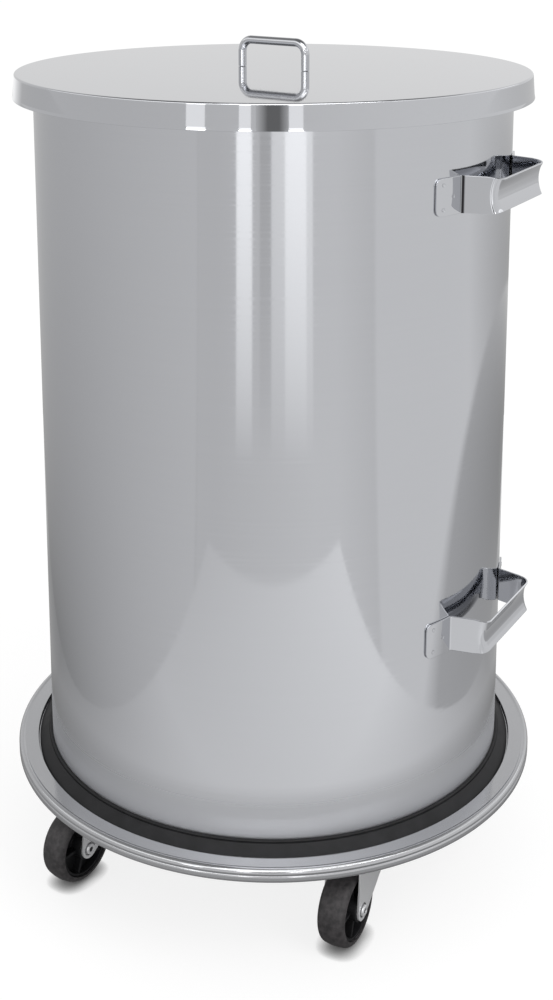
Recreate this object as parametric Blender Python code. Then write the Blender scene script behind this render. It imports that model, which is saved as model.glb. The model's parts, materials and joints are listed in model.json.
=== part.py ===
"""A wheeled stainless waste bin: a straight drum with a lift-off lid and two strap handles, standing loose
in a round pressed dolly on four swivel casters.

Metres, +Z up. The origin is on the drum's axis at floor level. Azimuths are in degrees from -Y towards +X.
"""

import math

import bmesh
import bpy
from mathutils import Matrix, Vector

# Fits
GAP = 0.0003                    # between pieces that touch on the real bin
MERGE = 0.000001                # distance at which points count as one

# Facets
ROUND_STEPS = 40                # drum, lid, base ring and dolly
WHEEL_STEPS = 20                # tyre and hub
HEAD_STEPS = 14                 # swivel heads
SMALL_STEPS = 10                # pins, sleeves and bores
BEND_STEPS = 3                  # one bend of the strap or of a pressed edge
EDGE_STEPS = 2                  # a small rounded edge
ROLL_STEPS = 6                  # the drum's rolled rim
SMOOTH_ANGLE = math.radians(35)

# Drum
DRUM_RADIUS = 0.200
DRUM_WALL = 0.0010
DRUM_HEIGHT = 0.5940            # foot to the top of the rolled rim
RIM_ROLL_RADIUS = 0.0060        # outside of the rolled rim
BOTTOM_SHEET = 0.0010
BOTTOM_RISE = 0.0180            # top of the bottom's middle above the drum's foot
BOTTOM_PRESS = 0.0015           # how far the middle is pressed up, to stiffen it
BOTTOM_PRESS_SLOPE = 0.0060     # width of the slope up to the middle
BOTTOM_BORDER = 0.0300          # flat border outside the slope

# Black base ring round the drum's foot
RING_FLARE = 0.0156             # how far the ring stands out from the drum
RING_LEDGE = 0.0140             # how far its floor reaches in under the drum's foot
RING_HEIGHT = 0.0128
RING_EDGE = 0.0031              # upright outer edge that sits in the dolly
RING_FLOOR = 0.0020             # thickness under the drum's foot
RING_LIP = 0.0034               # thickness of the lip against the drum
RING_LIP_HEIGHT = 0.0022
RING_GROOVE = 0.0008            # depth of the groove below the lip

# Dolly pan
PAN_SHEET = 0.0015
PAN_MARGIN = 0.0144             # how far the rim stands out from the base ring
PAN_SEAT_CLEARANCE = 0.0007     # between the base ring and the step round it
PAN_STEP = 0.0035               # height of the step
PAN_STEP_LEAN = 0.0006
PAN_BEAD_RADIUS = 0.0046        # crest of the rim
PAN_BEAD_START = 150            # angle on the crest where it leaves the crease
PAN_SKIRT = 0.0061              # upright part of the rim, bead to lower edge
PAN_LIP_RADIUS = 0.0028         # lower edge, turned in

# Casters
CASTER_NAMES = ("front", "right", "back", "left")
CASTER_FIRST_AZIMUTH = 25.0
CASTER_INSET = 0.0605           # dolly's rim to swivel axis
CASTER_TRAILS = (-28.0, -33.0, -31.0, -37.0)    # azimuth in which each wheel trails
CASTER_TRAIL = 0.0280
WHEEL_RADIUS = 0.0325
WHEEL_WIDTH = 0.0240
TYRE_DEPTH = 0.0065
TYRE_CORNER = 0.0042
HUB_INSET = 0.0015              # hub rim behind the tyre's side
HUB_RIM = 0.0022                # rim left outside the pockets
HUB_WEB = 0.0050
HUB_RIBS = 5
HUB_RIB = 0.0026
BOSS_WALL = 0.0040
AXLE_RADIUS = 0.0040
AXLE_HEAD_RADIUS = 0.0066
AXLE_HEAD = 0.0018
AXLE_DIMPLE_RADIUS = 0.0028
AXLE_DIMPLE = 0.0040
SLEEVE_WALL = 0.0015
FORK_SHEET = 0.0025
FORK_SIDE_GAP = 0.0020          # tyre to fork leg
FORK_CROWN_CLEARANCE = 0.0080   # tyre to the underside of the crown
FORK_EYE_RADIUS = 0.0104
FORK_REAR = 0.0220              # swivel axis to the rear edge of the legs
FORK_REAR_DEPTH = 0.0165        # upright part of the rear edge, from the crown down
FORK_FRONT_DEPTH = 0.0155       # sloping part of the front edge, from the crown down
FORK_FRONT_SLOPE = 0.0120
FORK_BEND = 0.0040              # outside radius of the bend from crown to leg
HEAD_RADIUS = 0.0235            # swivel head, over the ball race
HEAD_RACE = 0.0080
HEAD_TOP_RADIUS = 0.0215
HEAD_CHAMFER = 0.0030
HEAD_NECK = 0.0063              # race to mounting face
KINGPIN_RADIUS = 0.0050
KINGPIN_HEAD_RADIUS = 0.0080
KINGPIN_HEAD = 0.0045
KINGPIN_END = 0.0015            # thread showing past the nut
NUT_SIDES = 6
NUT_FLATS = 0.0170
NUT_HEIGHT = 0.0080

# Strap handles
HANDLE_AZIMUTH = 60.0
UPPER_HANDLE_DROP = 0.0780      # top of the rim to the middle of the strap
LOWER_HANDLE_RISE = 0.1555      # drum's foot to the middle of the strap
STRAP_SHEET = 0.0015
STRAP_HEIGHT = 0.0292
STRAP_EAR_LENGTH = 0.0280       # along the drum
STRAP_ROOT_SPAN = 0.1037        # between the roots of the legs
STRAP_REACH = 0.0190            # inner face of the grip from the drum, at the middle
STRAP_GRIP_LENGTH = 0.0930      # between the outer bends
STRAP_ROOT_BEND = 0.0022
STRAP_GRIP_BEND = 0.0050
STRAP_FLARE = 0.0045            # how far the grip's edges turn outwards
STRAP_GRIP_HEIGHT = 0.0256
STRAP_EAR_CORNER = 0.0055
STRAP_CORNER_STATIONS = (0.0, 0.2, 0.5, 1.0)            # points round an ear's corner, as shares of it
STRAP_ROWS = 4

# Lid
LID_SHEET = 0.0010
LID_CLEARANCE = 0.0032          # skirt to rolled rim, at the top
LID_FLARE = 0.0018              # how far the skirt widens downwards
LID_HEIGHT = 0.0200
LID_CORNER = 0.0025
LID_HANDLE_AZIMUTH = 55.0       # way in which the handle's near end points
LID_HANDLE_CENTRES = 0.0640
LID_HANDLE_RISE = 0.0230        # lid to the middle of the bar
LID_ROD_RADIUS = 0.0035
LID_ROD_BEND = 0.0095
LID_ROD_BEND_STEPS = 5
LID_ROD_RESOLUTION = 2
SCREW_RADIUS = 0.0020
SCREW_DEPTH = 0.0100            # how far a screw runs into the rod
SCREW_HEAD_RADIUS = 0.0042
SCREW_HEAD = 0.0024
WASHER_RADIUS = 0.0060
WASHER_SHEET = 0.0010

# Radii, from the drum outwards
RIM_RADIUS = DRUM_RADIUS - DRUM_WALL + 2 * RIM_ROLL_RADIUS
LID_TOP_RADIUS = RIM_RADIUS + LID_CLEARANCE + LID_SHEET
LID_RADIUS = LID_TOP_RADIUS + LID_FLARE
RING_RADIUS = DRUM_RADIUS + RING_FLARE
PAN_RADIUS = RING_RADIUS + PAN_MARGIN
CASTER_RING_RADIUS = PAN_RADIUS - CASTER_INSET

# Levels, from the floor up
AXLE_Z = WHEEL_RADIUS * math.cos(math.pi / WHEEL_STEPS)     # the tyre's lowest facet lies on the floor
CROWN_UNDER_Z = AXLE_Z + WHEEL_RADIUS + FORK_CROWN_CLEARANCE
CROWN_TOP_Z = CROWN_UNDER_Z + FORK_SHEET
HEAD_Z = CROWN_TOP_Z + GAP
RACE_TOP_Z = HEAD_Z + HEAD_CHAMFER + HEAD_RACE
HEAD_TOP_Z = RACE_TOP_Z + HEAD_NECK
PAN_UNDER_Z = HEAD_TOP_Z + GAP
PAN_TOP_Z = PAN_UNDER_Z + PAN_SHEET
RING_Z = PAN_TOP_Z + GAP
FOOT_Z = RING_Z + RING_FLOOR + GAP
RIM_Z = FOOT_Z + DRUM_HEIGHT
LID_UNDER_Z = RIM_Z + GAP
LID_TOP_Z = LID_UNDER_Z + LID_SHEET

# Half widths of the fork, from the wheel's middle plane
FORK_INSIDE = WHEEL_WIDTH / 2 + FORK_SIDE_GAP
FORK_OUTSIDE = FORK_INSIDE + FORK_SHEET

STEEL = ("polished_steel", (0.60, 0.60, 0.61), 0.12, 1.0)
SATIN = ("satin_steel", (0.52, 0.52, 0.53), 0.28, 1.0)
ZINC = ("zinc_plate", (0.55, 0.55, 0.56), 0.35, 1.0)
RUBBER = ("black_rubber", (0.028, 0.028, 0.030), 0.60, 0.0)
TYRE_RUBBER = ("tyre_rubber", (0.045, 0.044, 0.046), 0.65, 0.0)
HUB_PLASTIC = ("hub_plastic", (0.018, 0.018, 0.020), 0.45, 0.0)


def clear_scene():
    """Remove what the open file holds."""
    for thing in list(bpy.data.objects):
        bpy.data.objects.remove(thing, do_unlink=True)


def material(name, colour, roughness, metallic):
    """A Principled material, made once under each name."""
    found = bpy.data.materials.get(name)
    if found:
        return found
    made = bpy.data.materials.new(name)
    made.use_nodes = True
    shader = made.node_tree.nodes["Principled BSDF"]
    shader.inputs["Base Color"].default_value = (*colour, 1.0)
    shader.inputs["Roughness"].default_value = roughness
    shader.inputs["Metallic"].default_value = metallic
    made.diffuse_color = (*colour, 1.0)
    return made


def to_mesh(shape, name):
    """A mesh from a bmesh, merged and with its faces turned outwards."""
    bmesh.ops.remove_doubles(shape, verts=shape.verts, dist=MERGE)
    bmesh.ops.recalc_face_normals(shape, faces=shape.faces)
    mesh = bpy.data.meshes.new(name)
    shape.to_mesh(mesh)
    shape.free()
    return mesh


def place(name, mesh, finish, parent=None, location=(0, 0, 0), rotation=(0, 0, 0)):
    """A named sub-part from a mesh, shaded smooth up to its sharp edges."""
    mesh.materials.clear()
    mesh.materials.append(material(*finish))
    mesh.shade_smooth()
    mesh.set_sharp_from_angle(angle=SMOOTH_ANGLE)
    piece = bpy.data.objects.new(name, mesh)
    bpy.context.collection.objects.link(piece)
    piece.parent = parent
    piece.location = location
    piece.rotation_euler = rotation
    return piece


def pivot(name, location, turn=0.0, parent=None):
    """An empty on a joint's axis, turned about Z."""
    empty = bpy.data.objects.new(name, None)
    bpy.context.collection.objects.link(empty)
    empty.parent = parent
    empty.location = location
    empty.rotation_euler = (0, 0, turn)
    return empty


def heading(azimuth):
    """The angle about Z from +X of a direction given as an azimuth."""
    return math.radians(azimuth - 90)


def arc(centre, radius, start, end, steps):
    """Points along an arc, its angles in degrees, both ends included."""
    angles = [math.radians(start + (end - start) * k / steps) for k in range(steps + 1)]
    return [(centre[0] + radius * math.cos(a), centre[1] + radius * math.sin(a)) for a in angles]


def side_of(a, b):
    """The unit vector to the right of the way from a to b."""
    along = (Vector(b) - Vector(a)).normalized()
    return Vector((along.y, -along.x))


def offset_path(path, distance):
    """The path moved to its right by a distance, with mitred corners."""
    moved = []
    for k, point in enumerate(path):
        before = side_of(path[k - 1], point) if k else None
        after = side_of(point, path[k + 1]) if k + 1 < len(path) else None
        first, second = before or after, after or before
        mitre = (first + second) / (1 + first.dot(second))
        moved.append(tuple(Vector(point) + mitre * distance))
    return moved


def sheet_outline(path, thickness):
    """The section of a sheet whose left face follows the path."""
    return path + offset_path(path, thickness)[::-1]


def revolve(outline, steps, closed=True, turn=0.0):
    """An outline of (radius, z) turned about Z. An open outline starts and ends on the axis."""
    shape = bmesh.new()
    start = Matrix.Rotation(turn, 3, "Z")
    points = [shape.verts.new(start @ Vector((r, 0, z))) for r, z in outline]
    ends = points[1:] + points[:1] if closed else points[1:]
    edges = [shape.edges.new(pair) for pair in zip(points, ends)]
    bmesh.ops.spin(shape, geom=points + edges, cent=(0, 0, 0), axis=(0, 0, 1), angle=math.tau, steps=steps)
    return shape


def prism(outline, low, high):
    """An outline of (x, y) drawn up from one level to another."""
    shape = bmesh.new()
    base = shape.faces.new([shape.verts.new((x, y, low)) for x, y in outline])
    drawn = bmesh.ops.extrude_face_region(shape, geom=[base])["geom"]
    rim = [item for item in drawn if isinstance(item, bmesh.types.BMVert)]
    bmesh.ops.translate(shape, verts=rim, vec=(0, 0, high - low))
    bmesh.ops.recalc_face_normals(shape, faces=shape.faces)
    return shape


def round_bar(radius, low, high, steps=SMALL_STEPS):
    """A plain round bar along Z."""
    return prism(arc((0, 0), radius, 0, 360, steps)[:-1], low, high)


def moved(shape, matrix):
    """The shape after a transform."""
    bmesh.ops.transform(shape, matrix=matrix, verts=shape.verts)
    return shape


def joined(shapes):
    """Several shapes that don't touch, as one."""
    whole = bmesh.new()
    for shape in shapes:
        scratch = to_mesh(shape, "scratch")
        whole.from_mesh(scratch)
        bpy.data.meshes.remove(scratch)
    return whole


def carved(name, body, *tools):
    """The mesh of a body less each of the tools."""
    target = bpy.data.objects.new(name, body if isinstance(body, bpy.types.Mesh) else to_mesh(body, name))
    bpy.context.collection.objects.link(target)
    cutters = []
    for tool in tools:
        cutter = bpy.data.objects.new(name + "_cutter", to_mesh(tool, name + "_cutter"))
        bpy.context.collection.objects.link(cutter)
        cut = target.modifiers.new("cut", "BOOLEAN")
        cut.operation = "DIFFERENCE"
        cut.object = cutter
        cutters.append(cutter)
    graph = bpy.context.evaluated_depsgraph_get()
    result = bpy.data.meshes.new_from_object(target.evaluated_get(graph))
    for used in [target] + cutters:
        bpy.data.objects.remove(used, do_unlink=True)
    return result


def drum_shell():
    """The drum's wall, with its top edge rolled outwards."""
    roll = RIM_RADIUS - RIM_ROLL_RADIUS, RIM_Z - RIM_ROLL_RADIUS
    inside = [(DRUM_RADIUS - DRUM_WALL, FOOT_Z)] + arc(roll, RIM_ROLL_RADIUS, 180, -90, ROLL_STEPS)
    return to_mesh(revolve(sheet_outline(inside, DRUM_WALL), ROUND_STEPS), "drum_shell")


def drum_bottom():
    """The bottom, welded round inside the wall, its middle pressed up a little."""
    radius = DRUM_RADIUS - DRUM_WALL - GAP
    top = FOOT_Z + BOTTOM_RISE
    border = radius - BOTTOM_BORDER
    path = [
        (0, top),
        (border - BOTTOM_PRESS_SLOPE, top),
        (border, top - BOTTOM_PRESS),
        (radius, top - BOTTOM_PRESS),
    ]
    return to_mesh(revolve(sheet_outline(path, BOTTOM_SHEET), ROUND_STEPS, closed=False), "drum_bottom")


def base_ring():
    """The moulded ring that the drum's foot stands in: a lip, a groove and a sloping skirt."""
    inside = DRUM_RADIUS + GAP
    top = RING_Z + RING_HEIGHT
    lip = inside + RING_LIP
    lip_z = top - RING_LIP_HEIGHT
    outline = [
        (DRUM_RADIUS - RING_LEDGE, RING_Z),
        (DRUM_RADIUS - RING_LEDGE, RING_Z + RING_FLOOR),
        (inside, RING_Z + RING_FLOOR),
        (inside, top),
        (lip - RING_GROOVE, top),
        (lip, top - RING_GROOVE),
        (lip, lip_z),
        (lip - RING_GROOVE, lip_z - RING_GROOVE),
        (lip + RING_GROOVE, lip_z - RING_GROOVE),
        (RING_RADIUS, RING_Z + RING_EDGE),
        (RING_RADIUS, RING_Z),
    ]
    return to_mesh(revolve(outline, ROUND_STEPS), "base_ring")


def dolly_pan(stems):
    """The pressed pan: a floor, a step round the base ring, and a beaded rim turned down and in."""
    seat = RING_RADIUS + PAN_SEAT_CLEARANCE
    flange_z = PAN_TOP_Z + PAN_STEP
    bead = PAN_RADIUS - PAN_BEAD_RADIUS, flange_z - PAN_BEAD_RADIUS / 2
    lip = PAN_RADIUS - PAN_LIP_RADIUS, bead[1] - PAN_SKIRT
    path = (
        [(0, PAN_TOP_Z), (seat, PAN_TOP_Z), (seat + PAN_STEP_LEAN, flange_z)]
        + arc(bead, PAN_BEAD_RADIUS, PAN_BEAD_START, 0, BEND_STEPS)
        + arc(lip, PAN_LIP_RADIUS, 0, -90, EDGE_STEPS)
    )
    pan = revolve(sheet_outline(path, PAN_SHEET), ROUND_STEPS, closed=False)
    hole = KINGPIN_RADIUS + GAP
    holes = [
        moved(round_bar(hole, PAN_UNDER_Z - PAN_SHEET, PAN_TOP_Z + PAN_SHEET), Matrix.Translation((*stem, 0)))
        for stem in stems
    ]
    return carved("dolly_pan", pan, joined(holes))


def lid_shell(feet):
    """The flat lid with its short flared skirt, drilled for the handle's screws."""
    corner = LID_TOP_RADIUS - LID_CORNER, LID_TOP_Z - LID_CORNER
    path = [(0, LID_TOP_Z)] + arc(corner, LID_CORNER, 90, 0, BEND_STEPS) + [(LID_RADIUS, LID_TOP_Z - LID_HEIGHT)]
    lid = revolve(sheet_outline(path, LID_SHEET), ROUND_STEPS, closed=False)
    hole = SCREW_RADIUS + GAP
    holes = [
        moved(round_bar(hole, LID_UNDER_Z - LID_SHEET, LID_TOP_Z + LID_SHEET), Matrix.Translation((*foot, 0)))
        for foot in feet
    ]
    return carved("lid_shell", lid, joined(holes))


def lid_handle():
    """A round rod bent to a U along X, its ends bored for the screws."""
    half = LID_HANDLE_CENTRES / 2
    top = LID_TOP_Z + LID_HANDLE_RISE
    bend_z = top - LID_ROD_BEND
    left = arc((LID_ROD_BEND - half, bend_z), LID_ROD_BEND, 180, 90, LID_ROD_BEND_STEPS)
    right = arc((half - LID_ROD_BEND, bend_z), LID_ROD_BEND, 90, 0, LID_ROD_BEND_STEPS)
    foot_z = LID_TOP_Z + GAP
    route = [(-half, foot_z)] + left + right + [(half, foot_z)]
    curve = bpy.data.curves.new("lid_handle_route", "CURVE")
    curve.dimensions = "3D"
    curve.bevel_depth = LID_ROD_RADIUS
    curve.bevel_resolution = LID_ROD_RESOLUTION
    curve.use_fill_caps = True
    spline = curve.splines.new("POLY")
    spline.points.add(len(route) - 1)
    for point, (x, z) in zip(spline.points, route):
        point.co = (x, 0, z, 1)
    rod = bpy.data.objects.new("lid_handle_route", curve)
    bpy.context.collection.objects.link(rod)
    graph = bpy.context.evaluated_depsgraph_get()
    shape = bmesh.new()
    shape.from_mesh(bpy.data.meshes.new_from_object(rod.evaluated_get(graph)))
    bpy.data.objects.remove(rod, do_unlink=True)
    bores = [
        moved(round_bar(SCREW_RADIUS + GAP, foot_z - GAP, LID_TOP_Z + SCREW_DEPTH + GAP),
              Matrix.Translation((side * half, 0, 0)))
        for side in (-1, 1)
    ]
    return carved("lid_handle", shape, joined(bores))


def lid_screw():
    """A pan-head screw, driven up through the washer and the lid into the rod."""
    head_top = LID_UNDER_Z - GAP - WASHER_SHEET - GAP
    outline = [
        (0, LID_TOP_Z + SCREW_DEPTH),
        (SCREW_RADIUS, LID_TOP_Z + SCREW_DEPTH),
        (SCREW_RADIUS, head_top),
        (SCREW_HEAD_RADIUS, head_top),
        (SCREW_HEAD_RADIUS, head_top - SCREW_HEAD / 2),
        (SCREW_HEAD_RADIUS / 2, head_top - SCREW_HEAD),
        (0, head_top - SCREW_HEAD),
    ]
    return to_mesh(revolve(outline, SMALL_STEPS, closed=False), "lid_screw")


def lid_washer():
    """The washer under the lid."""
    top = LID_UNDER_Z - GAP
    bore = SCREW_RADIUS + GAP
    outline = [
        (bore, top),
        (WASHER_RADIUS, top),
        (WASHER_RADIUS, top - WASHER_SHEET),
        (bore, top - WASHER_SHEET),
    ]
    return to_mesh(revolve(outline, SMALL_STEPS), "lid_washer")


def rounded(path, corners):
    """The path with an arc at each corner that is given a radius."""
    result = []
    for k, point in enumerate(path):
        radius = corners.get(k)
        if radius is None:
            result.append(Vector(point))
            continue
        here = Vector(point)
        back = (Vector(path[k - 1]) - here).normalized()
        ahead = (Vector(path[k + 1]) - here).normalized()
        half_turn = back.angle(ahead) / 2
        centre = here + (back + ahead).normalized() * (radius / math.sin(half_turn))
        first = here + back * (radius / math.tan(half_turn)) - centre
        last = here + ahead * (radius / math.tan(half_turn)) - centre
        result += [centre + first.slerp(last, step / BEND_STEPS) * radius for step in range(BEND_STEPS + 1)]
    return result


def strap_plan():
    """The strap's inner face seen from above, from ear to ear: +X points away from the drum."""
    radius = DRUM_RADIUS + GAP
    root = math.asin(STRAP_ROOT_SPAN / 2 / radius)
    end = root + STRAP_EAR_LENGTH / radius
    corner = STRAP_EAR_CORNER / radius
    angles = [end - corner * share for share in STRAP_CORNER_STATIONS]
    angles += [(angles[-1] + root) / 2, root]
    ear = [(radius * math.cos(a), -radius * math.sin(a)) for a in angles]
    grip_x = DRUM_RADIUS + STRAP_REACH
    half = ear + [(grip_x, -STRAP_GRIP_LENGTH / 2)]
    path = half + [(grip_x, 0)] + [(x, -y) for x, y in half[::-1]]
    last = len(path) - 1
    leg = len(ear) - 1
    bends = {leg: STRAP_ROOT_BEND, leg + 1: STRAP_GRIP_BEND}
    bends.update({last - leg: STRAP_ROOT_BEND, last - leg - 1: STRAP_GRIP_BEND})
    return rounded(path, bends)


def strap_handle():
    """A bent sheet strap: two ears on the drum, two legs, and a grip whose edges are flared outwards."""
    plan = strap_plan()
    lengths = [(b - a).length for a, b in zip(plan, plan[1:])]
    travel = [sum(lengths[:k]) for k in range(len(plan))]
    grip_x = DRUM_RADIUS + STRAP_REACH
    shape = bmesh.new()
    columns = []
    for k, point in enumerate(plan):
        before = side_of(plan[max(k - 1, 0)], plan[max(k, 1)])
        after = side_of(plan[min(k, len(plan) - 2)], plan[min(k + 1, len(plan) - 1)])
        outwards = (before + after).normalized()
        bent = min(max((point.x - (grip_x - 2 * STRAP_GRIP_BEND)) / (2 * STRAP_GRIP_BEND), 0), 1)
        half = (STRAP_HEIGHT + (STRAP_GRIP_HEIGHT - STRAP_HEIGHT) * bent) / 2
        from_end = min(travel[k], travel[-1] - travel[k])
        if from_end < STRAP_EAR_CORNER:
            drop = STRAP_EAR_CORNER - from_end
            half += math.sqrt(max(STRAP_EAR_CORNER ** 2 - drop ** 2, 0)) - STRAP_EAR_CORNER
        column = []
        for row in range(STRAP_ROWS + 1):
            level = 2 * row / STRAP_ROWS - 1
            at = point + outwards * STRAP_FLARE * bent * level ** 2
            column.append(shape.verts.new((at.x, at.y, level * half)))
        columns.append(column)
    for left, right in zip(columns, columns[1:]):
        for row in range(STRAP_ROWS):
            shape.faces.new((left[row], right[row], right[row + 1], left[row + 1]))
    mesh = bpy.data.meshes.new("strap_handle")
    shape.to_mesh(mesh)
    shape.free()
    return mesh


def tyre(turn):
    """The tread band, with rounded shoulders, pressed round the hub."""
    inner = WHEEL_RADIUS - TYRE_DEPTH
    half = WHEEL_WIDTH / 2
    shoulder = WHEEL_RADIUS - TYRE_CORNER, half - TYRE_CORNER
    side = arc(shoulder, TYRE_CORNER, 0, 90, EDGE_STEPS) + [(inner, half)]
    outline = [(r, -y) for r, y in side[::-1]] + side
    return to_mesh(revolve(outline, WHEEL_STEPS, turn=turn), "tyre")


def hub_pocket(number, boss):
    """The wedge cut out between two ribs, as an outline of (x, y)."""
    pitch = 360 / HUB_RIBS
    middle = pitch * number
    inner = boss + HUB_RIM
    outer = (WHEEL_RADIUS - TYRE_DEPTH - GAP) * math.cos(math.pi / WHEEL_STEPS) - HUB_RIM
    near = pitch / 2 - math.degrees(HUB_RIB / 2 / inner)
    far = pitch / 2 - math.degrees(HUB_RIB / 2 / outer)
    return (arc((0, 0), outer, middle - far, middle + far, EDGE_STEPS)
            + arc((0, 0), inner, middle + near, middle - near, 1))


def wheel_hub(turn):
    """The moulded hub: a boss, a web, and pockets between ribs on both sides."""
    bore = AXLE_RADIUS + GAP + SLEEVE_WALL + GAP
    boss = bore + BOSS_WALL
    outer = WHEEL_RADIUS - TYRE_DEPTH - GAP
    half = WHEEL_WIDTH / 2 - HUB_INSET
    end = FORK_INSIDE - GAP
    section = [(bore, -end), (boss, -end), (boss, -half), (outer, -half)]
    outline = section + [(r, -y) for r, y in section[::-1]]
    pockets = []
    for number in range(HUB_RIBS):
        wedge = hub_pocket(number, boss)
        pockets.append(prism(wedge, HUB_WEB / 2, WHEEL_WIDTH))
        pockets.append(prism(wedge, -WHEEL_WIDTH, -HUB_WEB / 2))
    return carved("wheel_hub", revolve(outline, WHEEL_STEPS, turn=turn), joined(pockets))


def axle_sleeve():
    """The spacer between the fork's legs, on which the hub turns."""
    inner, end = AXLE_RADIUS + GAP, FORK_INSIDE - GAP
    outline = [(inner, -end), (inner + SLEEVE_WALL, -end), (inner + SLEEVE_WALL, end), (inner, end)]
    return to_mesh(revolve(outline, SMALL_STEPS), "axle_sleeve")


def axle_rivet():
    """The axle, riveted over both legs, with a dimple in each end."""
    seat = FORK_OUTSIDE + GAP
    end = seat + AXLE_HEAD
    half = [
        (0, -end + AXLE_DIMPLE),
        (AXLE_DIMPLE_RADIUS, -end + AXLE_DIMPLE),
        (AXLE_DIMPLE_RADIUS, -end),
        (AXLE_HEAD_RADIUS, -end),
        (AXLE_HEAD_RADIUS, -seat),
        (AXLE_RADIUS, -seat),
    ]
    outline = half + [(r, -y) for r, y in half[::-1]]
    return to_mesh(revolve(outline, SMALL_STEPS, closed=False), "axle_rivet")


def fork_outline():
    """The fork from the side, as (x, z): +X is the way in which the wheel trails."""
    eye = Vector((CASTER_TRAIL, AXLE_Z))
    rear = Vector((-FORK_REAR, CROWN_TOP_Z - FORK_REAR_DEPTH))
    away = rear - eye
    tangent = math.degrees(math.atan2(away.y, away.x) + math.acos(FORK_EYE_RADIUS / away.length))
    front = CASTER_TRAIL + FORK_EYE_RADIUS
    return (
        [(-FORK_REAR, CROWN_TOP_Z), tuple(rear)]
        + arc(eye, FORK_EYE_RADIUS, tangent, 360, 2 * BEND_STEPS)
        + [(front, CROWN_TOP_Z - FORK_FRONT_DEPTH), (front - FORK_FRONT_SLOPE, CROWN_TOP_Z)]
    )


def fork():
    """The pressed fork: a crown under the swivel head and two tapered legs down to the axle."""
    block = prism(fork_outline(), -FORK_OUTSIDE, FORK_OUTSIDE)
    moved(block, Matrix.Rotation(math.pi / 2, 4, "X"))
    top = CROWN_TOP_Z - MERGE
    bends = [e for e in block.edges if all(v.co.z > top for v in e.verts) and e.verts[0].co.y * e.verts[1].co.y > 0]
    bmesh.ops.bevel(block, geom=bends, offset=FORK_BEND, segments=BEND_STEPS, profile=0.5, affect="EDGES")
    reach = CASTER_TRAIL + FORK_REAR + 2 * FORK_EYE_RADIUS
    slot_corners = [(-reach, -FORK_INSIDE), (reach, -FORK_INSIDE), (reach, FORK_INSIDE), (-reach, FORK_INSIDE)]
    slot = prism(slot_corners, -FORK_EYE_RADIUS, CROWN_UNDER_Z)
    pin_hole = round_bar(KINGPIN_RADIUS + GAP, CROWN_UNDER_Z - FORK_SHEET, CROWN_TOP_Z + FORK_SHEET)
    axle_hole = round_bar(AXLE_RADIUS + GAP, -2 * FORK_OUTSIDE, 2 * FORK_OUTSIDE)
    to_axle = Matrix.Translation((CASTER_TRAIL, 0, AXLE_Z)) @ Matrix.Rotation(math.pi / 2, 4, "X")
    return carved("fork", block, slot, pin_hole, moved(axle_hole, to_axle))


def swivel_head():
    """The ball-race housing that is clamped under the pan."""
    bore = KINGPIN_RADIUS + GAP
    outline = [
        (bore, HEAD_Z),
        (HEAD_RADIUS - HEAD_CHAMFER, HEAD_Z),
        (HEAD_RADIUS, HEAD_Z + HEAD_CHAMFER),
        (HEAD_RADIUS, RACE_TOP_Z - HEAD_CHAMFER),
        (HEAD_TOP_RADIUS, RACE_TOP_Z),
        (HEAD_TOP_RADIUS, HEAD_TOP_Z),
        (bore, HEAD_TOP_Z),
    ]
    return to_mesh(revolve(outline, HEAD_STEPS), "swivel_head")


def kingpin():
    """The pin that the fork swivels on, up through the head and the pan."""
    head_top = CROWN_UNDER_Z - GAP
    end = PAN_TOP_Z + GAP + NUT_HEIGHT + KINGPIN_END
    outline = [
        (0, head_top - KINGPIN_HEAD),
        (KINGPIN_HEAD_RADIUS, head_top - KINGPIN_HEAD),
        (KINGPIN_HEAD_RADIUS, head_top),
        (KINGPIN_RADIUS, head_top),
        (KINGPIN_RADIUS, end),
        (0, end),
    ]
    return to_mesh(revolve(outline, SMALL_STEPS, closed=False), "kingpin")


def kingpin_nut():
    """The hexagon nut on the pan's floor."""
    low = PAN_TOP_Z + GAP
    corner = NUT_FLATS / 2 / math.cos(math.pi / NUT_SIDES)
    body = round_bar(corner, low, low + NUT_HEIGHT, steps=NUT_SIDES)
    return carved("kingpin_nut", body, round_bar(KINGPIN_RADIUS + GAP, low - GAP, low + NUT_HEIGHT + GAP))


def build_casters(stems):
    """Four casters under the pan, each with its fork on the swivel axis and its wheel on the axle."""
    facet = math.pi / WHEEL_STEPS
    fixed = {"swivel_head": (swivel_head(), ZINC), "kingpin": (kingpin(), ZINC), "kingpin_nut": (kingpin_nut(), ZINC)}
    on_axle = {"axle_rivet": (axle_rivet(), ZINC), "axle_sleeve": (axle_sleeve(), ZINC)}
    turning = {"wheel_hub": (wheel_hub(facet), HUB_PLASTIC), "wheel_tyre": (tyre(facet), TYRE_RUBBER)}
    fork_mesh = fork()
    across = (math.pi / 2, 0, 0)
    for name, stem, trail in zip(CASTER_NAMES, stems, CASTER_TRAILS):
        prefix = f"caster_{name}_"
        for part, (mesh, finish) in fixed.items():
            place(prefix + part, mesh, finish, location=(*stem, 0))
        swivel = pivot(prefix + "swivel_axis", (*stem, 0), heading(trail))
        place(prefix + "fork", fork_mesh, ZINC, parent=swivel)
        axle = pivot(prefix + "axle_axis", (CASTER_TRAIL, 0, AXLE_Z), parent=swivel)
        for part, (mesh, finish) in {**on_axle, **turning}.items():
            place(prefix + part, mesh, finish, parent=axle, rotation=across)


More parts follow.
